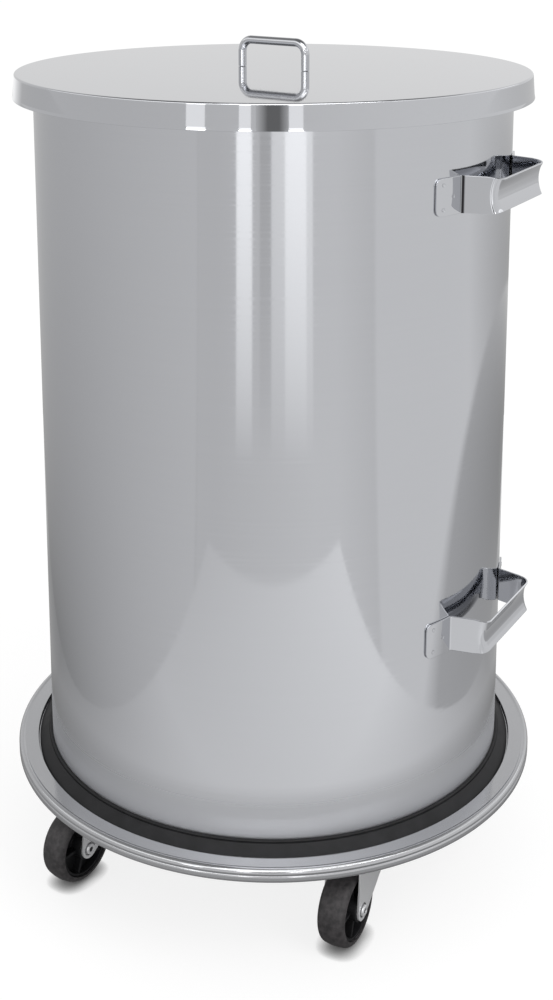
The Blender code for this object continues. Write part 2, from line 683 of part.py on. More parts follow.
def build_bin():
    """The drum, its bottom and base ring, and the two strap handles on one side."""
    place("drum_shell", drum_shell(), STEEL)
    place("drum_bottom", drum_bottom(), STEEL)
    place("base_ring", base_ring(), RUBBER)
    strap = strap_handle()
    turn = (0, 0, heading(HANDLE_AZIMUTH))
    levels = {"upper": RIM_Z - UPPER_HANDLE_DROP, "lower": FOOT_Z + LOWER_HANDLE_RISE}
    for name, level in levels.items():
        handle = place(f"{name}_handle", strap, STEEL, location=(0, 0, level), rotation=turn)
        thick = handle.modifiers.new("sheet", "SOLIDIFY")
        thick.thickness = STRAP_SHEET
        thick.offset = 1
        thick.use_even_offset = True


def build_lid():
    """The lid, with its handle screwed on from below."""
    turn = heading(LID_HANDLE_AZIMUTH)
    half = LID_HANDLE_CENTRES / 2
    ends = {"near": half, "far": -half}
    feet = {name: (reach * math.cos(turn), reach * math.sin(turn)) for name, reach in ends.items()}
    place("lid_shell", lid_shell(feet.values()), STEEL)
    place("lid_handle", lid_handle(), STEEL, rotation=(0, 0, turn))
    screw, washer = lid_screw(), lid_washer()
    for name, foot in feet.items():
        place(f"lid_screw_{name}", screw, ZINC, location=(*foot, 0))
        place(f"lid_washer_{name}", washer, ZINC, location=(*foot, 0))


def main():
    clear_scene()
    pitch = 360 / len(CASTER_NAMES)
    angles = [heading(CASTER_FIRST_AZIMUTH + pitch * k) for k in range(len(CASTER_NAMES))]
    stems = [(CASTER_RING_RADIUS * math.cos(a), CASTER_RING_RADIUS * math.sin(a)) for a in angles]
    place("dolly_pan", dolly_pan(stems), SATIN)
    build_casters(stems)
    build_bin()
    build_lid()


main()
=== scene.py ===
# %% [markdown]
# # A wheeled waste bin of polished steel
# The bin is a straight drum with a lift-off lid and two strap handles, standing loose in a round dolly on
# four casters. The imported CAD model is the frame: it fixes the place and the motion of every piece. This
# lesson dresses that frame. The pieces that catch the light are modelled again with finer faces, every
# surface gets a finish, and a pale studio is set up round the bin, because polished steel looks only as
# good as what it mirrors.

# %% Load the frame
import json
import math

import bmesh
import bpy
from mathutils import Matrix, Vector


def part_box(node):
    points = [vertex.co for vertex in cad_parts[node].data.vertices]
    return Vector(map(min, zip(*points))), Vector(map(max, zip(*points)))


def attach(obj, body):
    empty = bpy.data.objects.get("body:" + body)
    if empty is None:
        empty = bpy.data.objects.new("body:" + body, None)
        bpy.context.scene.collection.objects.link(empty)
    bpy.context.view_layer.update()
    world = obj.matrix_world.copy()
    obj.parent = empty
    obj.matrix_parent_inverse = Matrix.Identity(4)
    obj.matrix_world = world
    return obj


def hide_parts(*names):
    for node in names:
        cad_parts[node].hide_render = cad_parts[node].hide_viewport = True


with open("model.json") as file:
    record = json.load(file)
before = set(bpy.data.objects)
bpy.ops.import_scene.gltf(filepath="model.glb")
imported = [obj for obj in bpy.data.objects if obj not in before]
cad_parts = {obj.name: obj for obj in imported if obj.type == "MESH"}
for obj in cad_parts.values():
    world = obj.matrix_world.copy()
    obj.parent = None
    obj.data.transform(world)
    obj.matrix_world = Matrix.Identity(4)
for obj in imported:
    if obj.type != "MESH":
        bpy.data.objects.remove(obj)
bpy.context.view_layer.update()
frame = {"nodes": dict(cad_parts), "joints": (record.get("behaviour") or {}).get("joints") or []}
joints = {joint["name"]: joint for joint in frame["joints"]}

# %% [markdown]
# ## The camera
# The photograph looks down on the lid from a little above it, from about 1.3 m away. Such a picture is
# often taken with the lens shifted down, which keeps upright sides parallel. The shift here stays moderate,
# because every other view of the bin keeps it too, and a slight tilt does the rest. The renderer is also
# told to follow mirrored rays for more bounces than usual, because the steel faces inside the handles
# mirror each other.

# %% Camera
IMAGE_HEIGHT = 1000
SENSOR = 36.0
CAMERA_DISTANCE = 1.2955
CAMERA_LEVEL = 0.84
CAMERA_TILT = math.radians(11.9)
FOCAL_PIXELS = 1550
SIDE_SHIFT_PIXELS = 3.0
DOWN_SHIFT_PIXELS = 285
MIRROR_BOUNCES = 8

bpy.ops.object.select_all(action="DESELECT")
bpy.ops.object.camera_add(
    location=(0, -CAMERA_DISTANCE, CAMERA_LEVEL), rotation=(math.pi / 2 - CAMERA_TILT, 0, 0))
camera = bpy.context.active_object
camera.data.sensor_width = SENSOR
camera.data.lens = SENSOR * FOCAL_PIXELS / IMAGE_HEIGHT
camera.data.shift_x = SIDE_SHIFT_PIXELS / IMAGE_HEIGHT
camera.data.shift_y = -DOWN_SHIFT_PIXELS / IMAGE_HEIGHT
bpy.context.scene.camera = camera
bpy.context.scene.view_settings.view_transform = "Standard"
bpy.context.scene.cycles.glossy_bounces = MIRROR_BOUNCES
print("lens in mm:", round(camera.data.lens, 1))

# %% [markdown]
# ## Writing shaders as sums
# A finish is a small sum: a little roughness, plus some more where the brushing runs. Nodes could be wired
# one by one, but the sum is easier to read in Python. So one class wraps a socket, its operators add Math
# nodes, and its one method adds any other kind of node.

# %% Sockets that can be added up
class Wire:
    """A socket in a node tree. Sums on it add Math nodes, and node() adds any other kind."""

    def __init__(self, socket):
        self.socket = socket

    def node(self, kind, settings=None, inputs=None, out=0):
        """A new node of a kind, with its settings and then the values or links of its sockets."""
        tree = self.socket.id_data
        made = tree.nodes.new("ShaderNode" + kind)
        for name, value in (settings or {}).items():
            setattr(made, name, value)
        for name, value in (inputs or {}).items():
            if isinstance(value, Wire):
                tree.links.new(value.socket, made.inputs[name])
            else:
                made.inputs[name].default_value = value
        return Wire(made.outputs[out])

    def math(self, operation, first, second):
        return self.node("Math", {"operation": operation}, {0: first, 1: second})

    def __add__(self, other):
        return self.math("ADD", self, other)

    def __sub__(self, other):
        return self.math("SUBTRACT", self, other)

    def __rsub__(self, other):
        return self.math("SUBTRACT", other, self)

    def __mul__(self, other):
        return self.math("MULTIPLY", self, other)

    def __truediv__(self, other):
        return self.math("DIVIDE", self, other)

    def __rtruediv__(self, other):
        return self.math("DIVIDE", other, self)

    def __gt__(self, other):
        return self.math("GREATER_THAN", self, other)

    __radd__ = __add__
    __rmul__ = __mul__


# %% [markdown]
# A finish is put together from masks, which are numbers from 0 to 1 over a surface. A ready-made texture
# could paint them, but a few helpers that make, spread and mix them keep every finish down to a few lines.


# %% Masks and finishes
def axes(where, names):
    """The named axes of a place, each as a number."""
    return [where.node("SeparateXYZ", inputs={0: where}, out=name) for name in names]


def noise(where, scale, stretch=(1, 1, 1), detail=2.0):
    """Cloudy values from 0 to 1, so many to the metre, drawn out along the axes with a small stretch."""
    placed = where.node("Mapping", inputs={"Vector": where, "Scale": stretch})
    return where.node("TexNoise", inputs={"Vector": placed, "Scale": scale, "Detail": detail})


def ramp(mask, low, high):
    """The mask spread so that low becomes 0 and high becomes 1."""
    return mask.node("MapRange", inputs={"Value": mask, "From Min": low, "From Max": high})


def size_of(value):
    """The value without its sign."""
    return value.node("Math", {"operation": "ABSOLUTE"}, {0: value})


def blend(mask, first, second):
    """A number between two, by a mask."""
    return first + mask * (second - first)


MIX_FACTOR, MIX_FIRST, MIX_SECOND, MIX_RESULT = 0, 6, 7, 2


def between(mask, first, second):
    """A colour between two, by a mask."""
    return mask.node("Mix", {"data_type": "RGBA"},
                     {MIX_FACTOR: mask, MIX_FIRST: (*first, 1), MIX_SECOND: (*second, 1)}, MIX_RESULT)


def bump(height, depth, strength=1.0):
    """A surface raised by a height from 0 to 1, at a depth in metres."""
    return height.node("Bump", inputs={"Height": height, "Distance": depth, "Strength": strength})


def finish(name, sockets):
    """A Principled material. The sockets are worked out from Object coordinates by the function given."""
    made = bpy.data.materials.new(name)
    made.use_nodes = True
    tree = made.node_tree
    shader = tree.nodes["Principled BSDF"]
    where = Wire(tree.nodes.new("ShaderNodeTexCoord").outputs["Object"])
    for socket, value in sockets(where).items():
        if isinstance(value, Wire):
            tree.links.new(value.socket, shader.inputs[socket])
        else:
            shader.inputs[socket].default_value = value
    print("finish:", name, "with", len(tree.nodes), "nodes")
    return made


# %% [markdown]
# ## Polished steel
# The drum, the lid and the handles are bright stainless sheet. It was brushed very finely before it was
# polished, so a mirror image is sharp but a little drawn out across the brushing. An anisotropic shader
# could do this, but it doesn't bake. Fine stretched noise in roughness and bump gives nearly the same
# look and bakes well.

# %% Steel finishes
STEEL = (0.548, 0.556, 0.580)
BRUSH_FINE = 520
BRUSH_LONG = 0.012
BRUSHED_ROUND = (BRUSH_LONG, BRUSH_LONG, 1)
BRUSHED_ACROSS = (BRUSH_LONG, 1, 1)
BRUSH_ROUGH = 0.08
BRUSH_DEPTH = 0.000003
SMEARS = 7
SMEAR_ROUGH = 0.03
SMEAR_SHADE = 0.95


def steel_sockets(stretch, gloss, colour, metallic=1.0, brushed=1.0):
    """Steel sheet, brushed along the axes in which the noise is stretched. A dull one is less metallic."""
    def sockets(where):
        brushing = noise(where, BRUSH_FINE, stretch, detail=3)
        smears = noise(where, SMEARS, detail=4)
        scratches = BRUSH_ROUGH * brushed * ramp(brushing, 0.45, 0.8)
        darker = tuple(SMEAR_SHADE * c for c in colour)
        return {
            "Metallic": metallic,
            "Base Color": between(0.5 * brushing + 0.5 * smears, darker, colour),
            "Roughness": gloss + scratches + SMEAR_ROUGH * brushed * smears,
            "Normal": bump(brushing, BRUSH_DEPTH * brushed),
        }
    return sockets


lid_steel = finish("lid_steel", steel_sockets(BRUSHED_ACROSS, gloss=0.025, colour=STEEL, brushed=0.5))
rod_steel = finish("rod_steel", steel_sockets(BRUSHED_ROUND, gloss=0.02, colour=STEEL, brushed=0.3))

# %% [markdown]
# ## Drawing with operators
# Nearly every piece here is turned or pressed, so its section tells its whole shape. A single vertex is
# pulled along that section with Extrude, and Spin takes it round the axis. A sheet is drawn along the
# middle of its thickness and thickened both ways, so it doesn't matter which way its faces point before.

# %% Draw and spin
MERGE = 1e-6
SPECK = 1e-4
HOLD = 0.0008
FULL_TURN = 256


def start(add, **settings):
    """A new primitive, with nothing else selected, open for editing."""
    bpy.ops.object.select_all(action="DESELECT")
    add(**settings)
    bpy.ops.object.mode_set(mode="EDIT")
    bpy.ops.mesh.select_all(action="SELECT")
    return bpy.context.active_object


def draw(points):
    """One vertex pulled from point to point, which leaves a line of edges."""
    points = [Vector(point) for point in points]
    piece = start(bpy.ops.mesh.primitive_plane_add, size=SPECK, location=points[0])
    bpy.ops.mesh.merge(type="CENTER")
    for here, there in zip(points, points[1:]):
        bpy.ops.mesh.extrude_vertices_move(TRANSFORM_OT_translate={"value": there - here})
    bpy.ops.mesh.select_all(action="SELECT")
    return piece


def arc(centre, radius, first, last, steps):
    """Points of (across, up) along an arc, its angles in degrees."""
    angles = [math.radians(first + (last - first) * k / steps) for k in range(steps + 1)]
    return [(centre[0] + radius * math.cos(a), centre[1] + radius * math.sin(a)) for a in angles]


def held(line):
    """The line with a point near both ends of each long stretch, which keeps faces flat up to an edge."""
    result = [line[0]]
    for first, last in zip(map(Vector, line), map(Vector, line[1:])):
        margin = (last - first).normalized() * HOLD
        if (last - first).length > 4 * HOLD:
            result += [first + margin, last - margin]
        result.append(last)
    return result


def turned(section, steps=FULL_TURN):
    """A section of (radius, z) spun round the Z axis."""
    piece = draw([(radius, 0, z) for radius, z in held(section)])
    bpy.ops.mesh.spin(steps=steps, angle=math.tau, center=(0, 0, 0), axis=(0, 0, 1))
    close_up()
    bpy.ops.object.transform_apply(location=True)
    return piece


def close_up():
    """Merges what lies on top of each other, turns the faces outwards and leaves edit mode."""
    bpy.ops.mesh.select_all(action="SELECT")
    bpy.ops.mesh.remove_doubles(threshold=MERGE)
    bpy.ops.mesh.normals_make_consistent(inside=False)
    bpy.ops.object.mode_set(mode="OBJECT")


# %% [markdown]
# A drawn sheet gets its thickness from Solidify and its rounded edges from Bevel. Both could stay live as
# modifiers, but an applied one leaves a mesh that later steps can cut and select. Weighted normals come
# last. They keep large faces flat next to narrow bevels, and a mirror shows at once where a face isn't
# flat.


# %% Modify and finish
def activate(piece):
    """Makes a piece the only one that operators act on."""
    bpy.ops.object.select_all(action="DESELECT")
    piece.select_set(True)
    bpy.context.view_layer.objects.active = piece


def modify(piece, kind, **settings):
    """Adds a modifier with its settings, and applies it."""
    activate(piece)
    made = piece.modifiers.new(kind.title(), kind)
    for name, value in settings.items():
        setattr(made, name, value)
    bpy.ops.object.modifier_apply(modifier=made.name)


def thicken(piece, sheet):
    """Gives a sheet its thickness, half to each side."""
    modify(piece, "SOLIDIFY", thickness=sheet, offset=0, use_even_offset=True)


def soften(piece, width, segments=2, angle=math.radians(40)):
    """Rounds every edge that is sharper than an angle."""
    modify(piece, "BEVEL", width=width, segments=segments, limit_method="ANGLE", angle_limit=angle)


SMOOTH_ANGLE = math.radians(32)


def complete(piece, name, body, nodes, surface):
    """Names a piece, smooths it, and ties it to the frame in place of its CAD nodes."""
    activate(piece)
    bpy.ops.object.transform_apply(location=True, rotation=True, scale=True)
    bpy.ops.object.shade_smooth_by_angle(angle=SMOOTH_ANGLE)
    modify(piece, "WEIGHTED_NORMAL", keep_sharp=True)
    piece.name = piece.data.name = name
    piece.data.materials.clear()
    piece.data.materials.append(surface)
    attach(piece, body)
    if nodes:
        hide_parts(*nodes)
    print(name, "has", len(piece.data.polygons), "faces")


# %% [markdown]
# ## The drum
# One rolled sheet makes the drum, and its top edge is rolled outwards, which stiffens it and leaves nothing
# sharp. A cylinder with a torus on top would look alike from far off, but the roll is open underneath on
# the real bin. So the wall and the roll are one line, spun in one go.

# %% Drum
WALL = 0.0010
ROLL_RADIUS = 0.0060
RAW_EDGE = 0.0003
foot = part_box("drum_shell")[0].z
rim_radius, rim_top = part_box("drum_shell")[1].x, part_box("drum_shell")[1].z
drum_radius = rim_radius - 2 * ROLL_RADIUS + WALL
roll_centre = rim_radius - ROLL_RADIUS, rim_top - ROLL_RADIUS
wall_line = [(drum_radius - WALL / 2, foot)] + arc(roll_centre, ROLL_RADIUS - WALL / 2, 180, -90, 24)
drum = turned(wall_line)
thicken(drum, WALL)
soften(drum, RAW_EDGE)
print("drum radius in mm:", round(1000 * drum_radius, 1))

# %% [markdown]
# The sheet is polished only outside. Round its foot, where the bottom is welded in, the grinding of the
# weld leaves a band without polish, and inside it is as dull as the mill left it. The faces could be sorted
# into three materials, but one material that knows its place needs no sorting, and its band can fade.

# %% Drum finish
DRUM_GLOSS = 0.035
GROUND_ROUGH = 0.40
GROUND_TOP = foot + 0.056
GROUND_FULL = foot + 0.022
MILL_ROUGH = 0.28
MILL_METAL = 0.5


def drum_sockets(where):
    """Polished outside, ground round the foot and dull inside."""
    sockets = steel_sockets(BRUSHED_ROUND, DRUM_GLOSS, STEEL)(where)
    x, y, height = axes(where, "XYZ")
    inside = (drum_radius - WALL / 2) ** 2 - (x * x + y * y) > 0
    dull = blend(inside, GROUND_ROUGH * ramp(height, GROUND_TOP, GROUND_FULL), MILL_ROUGH)
    sockets["Roughness"] = sockets["Roughness"] + dull
    sockets["Metallic"] = blend(inside, 1.0, MILL_METAL)
    return sockets


drum_steel = finish("drum_steel", drum_sockets)
complete(drum, "drum_wall", "bin", ["drum_shell"], drum_steel)

# %% [markdown]
# ## The drum's bottom
# A disc is welded inside the wall, and its middle is pressed up to stiffen it. The pressing could be an
# inset of a flat disc, but four points of the section say the same, and a wide bevel rounds both of its
# bends.

# %% Drum bottom
BOTTOM_SLOPE = 0.0060
BOTTOM_BORDER = 0.0300
bottom_low, bottom_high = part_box("drum_bottom")
border_top = bottom_low.z + WALL
border = bottom_high.x - BOTTOM_BORDER
bottom_line = [
    (0, bottom_high.z - WALL / 2),
    (border - BOTTOM_SLOPE, bottom_high.z - WALL / 2),
    (border, border_top - WALL / 2),
    (bottom_high.x, border_top - WALL / 2),
]
bottom = turned(bottom_line)
thicken(bottom, WALL)
soften(bottom, BOTTOM_SLOPE / 3, segments=3, angle=math.radians(8))
complete(bottom, "drum_floor", "bin", ["drum_bottom"], drum_steel)

# %% [markdown]
# ## The lid
# The lid is a flat disc with a short skirt that flares a little. Its corner is small but not sharp, and it
# catches a bright line of light, so it needs a real arc where a bare edge would be simpler.

# %% Lid
LID_SHEET = 0.0010
LID_CORNER = 0.0016
LID_FLARE = 0.0018
HEM = 0.0026
HEM_FLARE = 0.0005
lid_low, lid_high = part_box("lid_shell")
lid_top_radius = lid_high.x - LID_FLARE
corner_centre = lid_top_radius - LID_CORNER, lid_high.z - LID_CORNER
lid_line = (
    [(0, lid_high.z - LID_SHEET / 2)]
    + arc(corner_centre, LID_CORNER - LID_SHEET / 2, 90, 0, 8)
    + [(lid_high.x - LID_SHEET / 2 - HEM_FLARE, lid_low.z + HEM), (lid_high.x - LID_SHEET / 2, lid_low.z)]
)
lid = turned(lid_line)
thicken(lid, LID_SHEET)
soften(lid, RAW_EDGE)
print("lid radius in mm:", round(1000 * lid_high.x, 1))

# %% [markdown]
# The hem below the skirt leans out a little more. Smooth shading would blend the two, so the line between
# them is selected by its height and marked sharp. Skirt and hem then mirror different parts of the room.


# %% Hem line
def pick(piece, kind, test):
    """Selects only the vertices, edges or faces that pass a test."""
    bpy.ops.mesh.select_all(action="DESELECT")
    shape = bmesh.from_edit_mesh(piece.data)
    for item in getattr(shape, kind):
        if test(item):
            item.select_set(True)
    bmesh.update_edit_mesh(piece.data)


bpy.ops.object.mode_set(mode="EDIT")
pick(lid, "edges", lambda e: all(abs(v.co.z - lid_low.z - HEM) < HOLD / 2 for v in e.verts))
bpy.ops.mesh.mark_sharp()
bpy.ops.object.mode_set(mode="OBJECT")
print("the line above the hem is sharp")

# %% [markdown]
# Two screws hold the handle from below. Their holes are bored with a Boolean, as a drill would do it,
# because the flat disc has no faces of the right shape to delete.

# %% Screw holes
SCREW_HOLE = 0.0023
HOLE_SIDES = 24


def cut(piece, add, **settings):
    """Takes the shape of a primitive out of a piece."""
    bpy.ops.object.select_all(action="DESELECT")
    add(**settings)
    cutter = bpy.context.active_object
    modify(piece, "BOOLEAN", operation="DIFFERENCE", object=cutter)
    bpy.data.objects.remove(cutter)


def middle_of(node):
    """The middle of a CAD node's box."""
    low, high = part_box(node)
    return (low + high) / 2


for end in ("near", "far"):
    screw = middle_of(f"lid_screw_{end}")
    cut(lid, bpy.ops.mesh.primitive_cylinder_add, vertices=HOLE_SIDES, radius=SCREW_HOLE,
        depth=10 * LID_SHEET, location=(screw.x, screw.y, lid_high.z))
complete(lid, "lid_cover", "lid", ["lid_shell"], lid_steel)

# %% [markdown]
# ## The lid handle
# A round rod, bent twice. A curve with a round bevel would be quick, but here the bending is done as a
# maker does it: a circle is pulled up, swung round the first bend with Spin, pulled along, swung again and
# pulled down. Without a window Spin turns the other way, so its axis points along -Y.

# %% Lid handle
ROD_RADIUS = 0.0035
ROD_BEND = 0.0095
ROD_SIDES = 32
BEND_STEPS = 14
near_foot, far_foot = middle_of("lid_screw_near"), middle_of("lid_screw_far")
half_span = (near_foot - far_foot).xy.length / 2
rod_low, rod_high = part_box("lid_handle")
bend_level = rod_high.z - ROD_RADIUS - ROD_BEND

rod = start(bpy.ops.mesh.primitive_circle_add, vertices=ROD_SIDES, radius=ROD_RADIUS,
            location=(-half_span, 0, rod_low.z))
bpy.ops.mesh.extrude_region_move(TRANSFORM_OT_translate={"value": (0, 0, bend_level - rod_low.z)})
for side in (-1, 1):
    bend_centre = side * (half_span - ROD_BEND), 0, bend_level
    bpy.ops.mesh.spin(steps=BEND_STEPS, angle=math.pi / 2, center=bend_centre, axis=(0, -1, 0))
    after = (2 * (half_span - ROD_BEND), 0, 0) if side < 0 else (0, 0, rod_low.z - bend_level)
    bpy.ops.mesh.extrude_region_move(TRANSFORM_OT_translate={"value": after})
bpy.ops.mesh.select_all(action="SELECT")
bpy.ops.mesh.fill_holes(sides=ROD_SIDES)
close_up()
soften(rod, RAW_EDGE)
bpy.ops.object.transform_apply(location=True)
rod.rotation_euler.z = math.atan2(near_foot.y - far_foot.y, near_foot.x - far_foot.x)
complete(rod, "lid_rod", "lid", ["lid_handle"], rod_steel)

# %% [markdown]
# ## The strap handles
# Each handle is one strip of sheet: an ear on the drum, a leg, the grip, a leg and an ear. It is drawn from
# above as a line with sharp corners and pulled up row by row. A flat strip could be bent as in the press,
# but the plan says better where each corner comes to lie.

# %% Strap plan
STRAP_SHEET = 0.0015
STRAP_GAP = 0.0003
EAR_LENGTH = 0.0280
EAR_STEPS = 4
ROOT_SPAN = 0.1037
REACH = 0.0190
GRIP_LENGTH = 0.0930
BEND_LENGTH = 0.0065
ear_radius = drum_radius + STRAP_GAP + STRAP_SHEET / 2
root = math.asin(ROOT_SPAN / 2 / ear_radius)
ear_turn = EAR_LENGTH / ear_radius
ear_line = [Vector((ear_radius * math.cos(a), -ear_radius * math.sin(a), 0))
            for a in (root + ear_turn * (1 - k / EAR_STEPS) for k in range(EAR_STEPS + 1))]
grip_x = drum_radius + REACH + STRAP_SHEET / 2
corner = Vector((grip_x, -GRIP_LENGTH / 2, 0))
leg = (corner - ear_line[-1]).normalized()
half_line = ear_line + [corner - leg * BEND_LENGTH, corner, corner + Vector((0, BEND_LENGTH, 0))]
plan = half_line + [Vector((p.x, -p.y, 0)) for p in half_line[::-1]]
print("strap plan has", len(plan), "points")

# %% Strap rows
STRAP_HEIGHT = 0.0292
EAR_CORNER = 0.0055
CORNER_ANGLES = (0, 24, 46, 67, 90)
half_height = STRAP_HEIGHT / 2
straight = half_height - EAR_CORNER
upper_rows = [straight / 3, 2 * straight / 3] + [
    straight + EAR_CORNER * math.sin(math.radians(angle)) for angle in CORNER_ANGLES]
rows = [-z for z in upper_rows[::-1]] + [0] + upper_rows
strap = draw([point + Vector((0, 0, rows[0])) for point in plan])
for here, there in zip(rows, rows[1:]):
    bpy.ops.mesh.extrude_region_move(TRANSFORM_OT_translate={"value": (0, 0, there - here)})
bpy.ops.object.mode_set(mode="OBJECT")
bpy.ops.object.transform_apply(location=True)
bpy.ops.object.mode_set(mode="EDIT")
print("strap drawn with", len(plan), "columns and", len(rows), "rows")

# %% [markdown]
# The rows of the grip are moved outwards, the more the further they are from the middle, which hollows the
# grip. The free end of each ear is drawn in near its corners, row by row, which rounds them. A proportional
# edit would do both by hand, but in code a row at a time is exact.

# %% Strap grip and ear corners
GRIP_HEIGHT = 0.0256
FLARE = 0.0045
CORNER_FLARE = 0.55


def pick_point(piece, point, z):
    """Selects the vertices over a point of the plan and its mirror image, in one row."""
    pick(piece, "verts", lambda v: abs(v.co.z - z) < SPECK and abs(v.co.x - point.x) < SPECK
         and abs(abs(v.co.y) - abs(point.y)) < SPECK)


for z in rows:
    level = z / half_height
    for station, share in ((corner, CORNER_FLARE), (half_line[-1], 1.0)):
        pick_point(strap, station, z)
        bpy.ops.transform.translate(value=(
            share * FLARE * level ** 2, 0, share * level * (GRIP_HEIGHT - STRAP_HEIGHT) / 2))
along = (ear_line[1] - ear_line[0]).normalized()
for z in rows:
    over = min(max(abs(z) - straight, 0) / EAR_CORNER, 1)
    inset = EAR_CORNER * (1 - math.sqrt(1 - over ** 2))
    pick_point(strap, plan[0], z)
    narrower = 1 - inset * along.y / abs(plan[0].y)
    bpy.ops.transform.resize(value=(1, narrower, 1), center_override=(0, 0, 0))
    bpy.ops.transform.translate(value=(inset * along.x, 0, 0))
print("grip is hollow and ears are rounded")

# %% [markdown]
# The bends come last. Bevelling the upright edges rounds them, and gives the small dents where the flared
# edges of the grip meet the legs. Drawn as arcs from the start, the bends would have left no sharp corners
# to move.

# %% Strap bends
ROOT_BEND = 0.0022
GRIP_BEND = 0.0050


def bend(piece, column, radius, turn):
    """Rounds the two upright edges over one point of the plan and its mirror image."""
    def stands_there(edge):
        return all(abs(abs(v.co.y) - abs(column.y)) < SPECK and abs(v.co.x - column.x) < FLARE + SPECK
                   for v in edge.verts) and abs(edge.verts[0].co.z - edge.verts[1].co.z) > SPECK
    pick(piece, "edges", stands_there)
    bpy.ops.mesh.bevel(offset=radius * math.tan(turn / 2), segments=6, affect="EDGES")


ear_end = (ear_line[-1] - ear_line[-2]).normalized()
bend(strap, corner, GRIP_BEND, leg.angle(Vector((0, 1, 0))))
bend(strap, ear_line[-1], ROOT_BEND, ear_end.angle(leg))
close_up()
thicken(strap, STRAP_SHEET)
soften(strap, RAW_EDGE, angle=math.radians(50))
print("strap has", len(strap.data.polygons), "faces")

# %% [markdown]
# Both handles are polished like the drum. In the sharper root bends of the upper one, a dark line of
# painted shade is put into the colour. A separate thin piece could stand for it, but a mask of the angle
# and the distance round the drum finds the bends as well.

# %% Straps in place
HANDLE_FROM_FRONT = 60
HANDLE_AZIMUTH = math.radians(HANDLE_FROM_FRONT - 90)
# The colour of painted shade, used in creases, holes and corners.
PAINTED_SHADE = (0.03, 0.03, 0.032)
# Where the dark line of painted shade lies round each root bend, and how far out from the drum.
CREASE_SHADE_WIDTH, CREASE_SHADE_FULL = math.radians(0.308), math.radians(0.132)
CREASE_SHADE_END, CREASE_SHADE_START = ear_radius + 0.0033, ear_radius + 0.0022
polished_strap = steel_sockets(BRUSHED_ROUND, gloss=0.03, colour=STEEL, brushed=0.3)


def creased_sockets(where):
    """Polished strip with a dark line of painted shade along both roots."""
    sockets = polished_strap(where)
    x, y = axes(where, "XY")
    off_root = size_of(size_of(where.math("ARCTAN2", y, x) - HANDLE_AZIMUTH) - root)
    near_drum = ramp(x * x + y * y, CREASE_SHADE_END ** 2, CREASE_SHADE_START ** 2)
    sockets["Base Color"] = between(ramp(off_root, CREASE_SHADE_WIDTH, CREASE_SHADE_FULL) * near_drum, STEEL, PAINTED_SHADE)
    return sockets


def copy_to(model, place):
    """A copy with a mesh of its own, moved to its place."""
    made = model.copy()
    made.data = model.data.copy()
    bpy.context.collection.objects.link(made)
    made.matrix_world = place
    return made


surfaces = {
    "upper": finish("creased_steel", creased_sockets),
    "lower": finish("handle_steel", polished_strap),
}
for name, surface in surfaces.items():
    level = middle_of(f"{name}_handle").z
    place = Matrix.Translation((0, 0, level)) @ Matrix.Rotation(HANDLE_AZIMUTH, 4, "Z")
    complete(copy_to(strap, place), f"{name}_strap", "bin", [f"{name}_handle"], surface)

# %% [markdown]
# ## Spot welds
# Each ear is held by three spot welds: two near its end and one nearer the leg. The electrode leaves a
# small round print with a raised edge. A bump texture would do from far off, but a dozen small rings of
# real faces catch the light from every side. Round them an Ambient Occlusion node finds where shade
# falls, and that shade is painted darker into their colour.

# %% Spot welds
WELD_RADIUS = 0.0017
WELD_RISE = 0.0005
WELD_DIP = 0.0006
WELD_SIDES = 20
weld = start(bpy.ops.mesh.primitive_circle_add, vertices=WELD_SIDES, radius=WELD_RADIUS, fill_type="NGON")
bpy.ops.mesh.extrude_region_move(TRANSFORM_OT_translate={"value": (0, 0, WELD_RISE)})
bpy.ops.mesh.inset(thickness=WELD_RADIUS / 4)
bpy.ops.mesh.inset(thickness=WELD_RADIUS / 4)
bpy.ops.transform.translate(value=(0, 0, -WELD_DIP))
close_up()
soften(weld, WELD_DIP / 2)
print("weld print has", len(weld.data.polygons), "faces")


# %% Spot welds in place
def with_painted_shade(sockets, clean, reach, alone):
    """A finish with painted shade in holes and corners, its own ones alone or also those beside other
    pieces.
    """
    def shade_painted(where):
        result = sockets(where)
        open_air = where.node("AmbientOcclusion", {"only_local": alone}, {"Distance": reach}, out="AO")
        result["Base Color"] = between(open_air * open_air, PAINTED_SHADE, clean)
        return result
    return shade_painted


WELD_PLACES = ((20.8, 0.0095), (20.8, -0.0095), (17.8, 0.0))
ear_face = drum_radius + STRAP_GAP + STRAP_SHEET - WELD_DIP / 2
# The weld prints get painted shade round them, found by the Ambient Occlusion node.
weld_steel = finish("weld_steel", with_painted_shade(polished_strap, STEEL, WELD_RADIUS, alone=False))
for name in ("upper", "lower"):
    level = middle_of(f"{name}_handle").z
    prints = []
    for degrees, rise in WELD_PLACES:
        for side in (-1, 1):
            turn = Matrix.Rotation(HANDLE_AZIMUTH + side * math.radians(degrees), 4, "Z")
            outwards = Matrix.Translation((ear_face, 0, level + rise)) @ Matrix.Rotation(math.pi / 2, 4, "Y")
            prints.append(copy_to(weld, turn @ outwards))
    activate(prints[0])
    for one in prints:
        one.select_set(True)
    bpy.ops.object.join()
    complete(prints[0], f"{name}_strap_welds", "bin", [], weld_steel)
for model in (strap, weld):
    bpy.data.objects.remove(model)

# %% [markdown]
# ## Black rubber
# The ring round the drum's foot is moulded rubber: nearly black, dull, with a fine grain and a little dust
# in the low places. The tyres are a greyer rubber, worn by the floor, and the hubs a hard black plastic.
# All three use the same recipe with other numbers: a dark colour, a soft roughness and a grain that lifts
# the light. Plain black would be simpler, but it looks like a hole in the picture.

# %% Rubber and plastic finishes
DUST_ROUGH = 0.12
GRAIN_ROUGH = 0.08
DUST_SHARE = 0.6


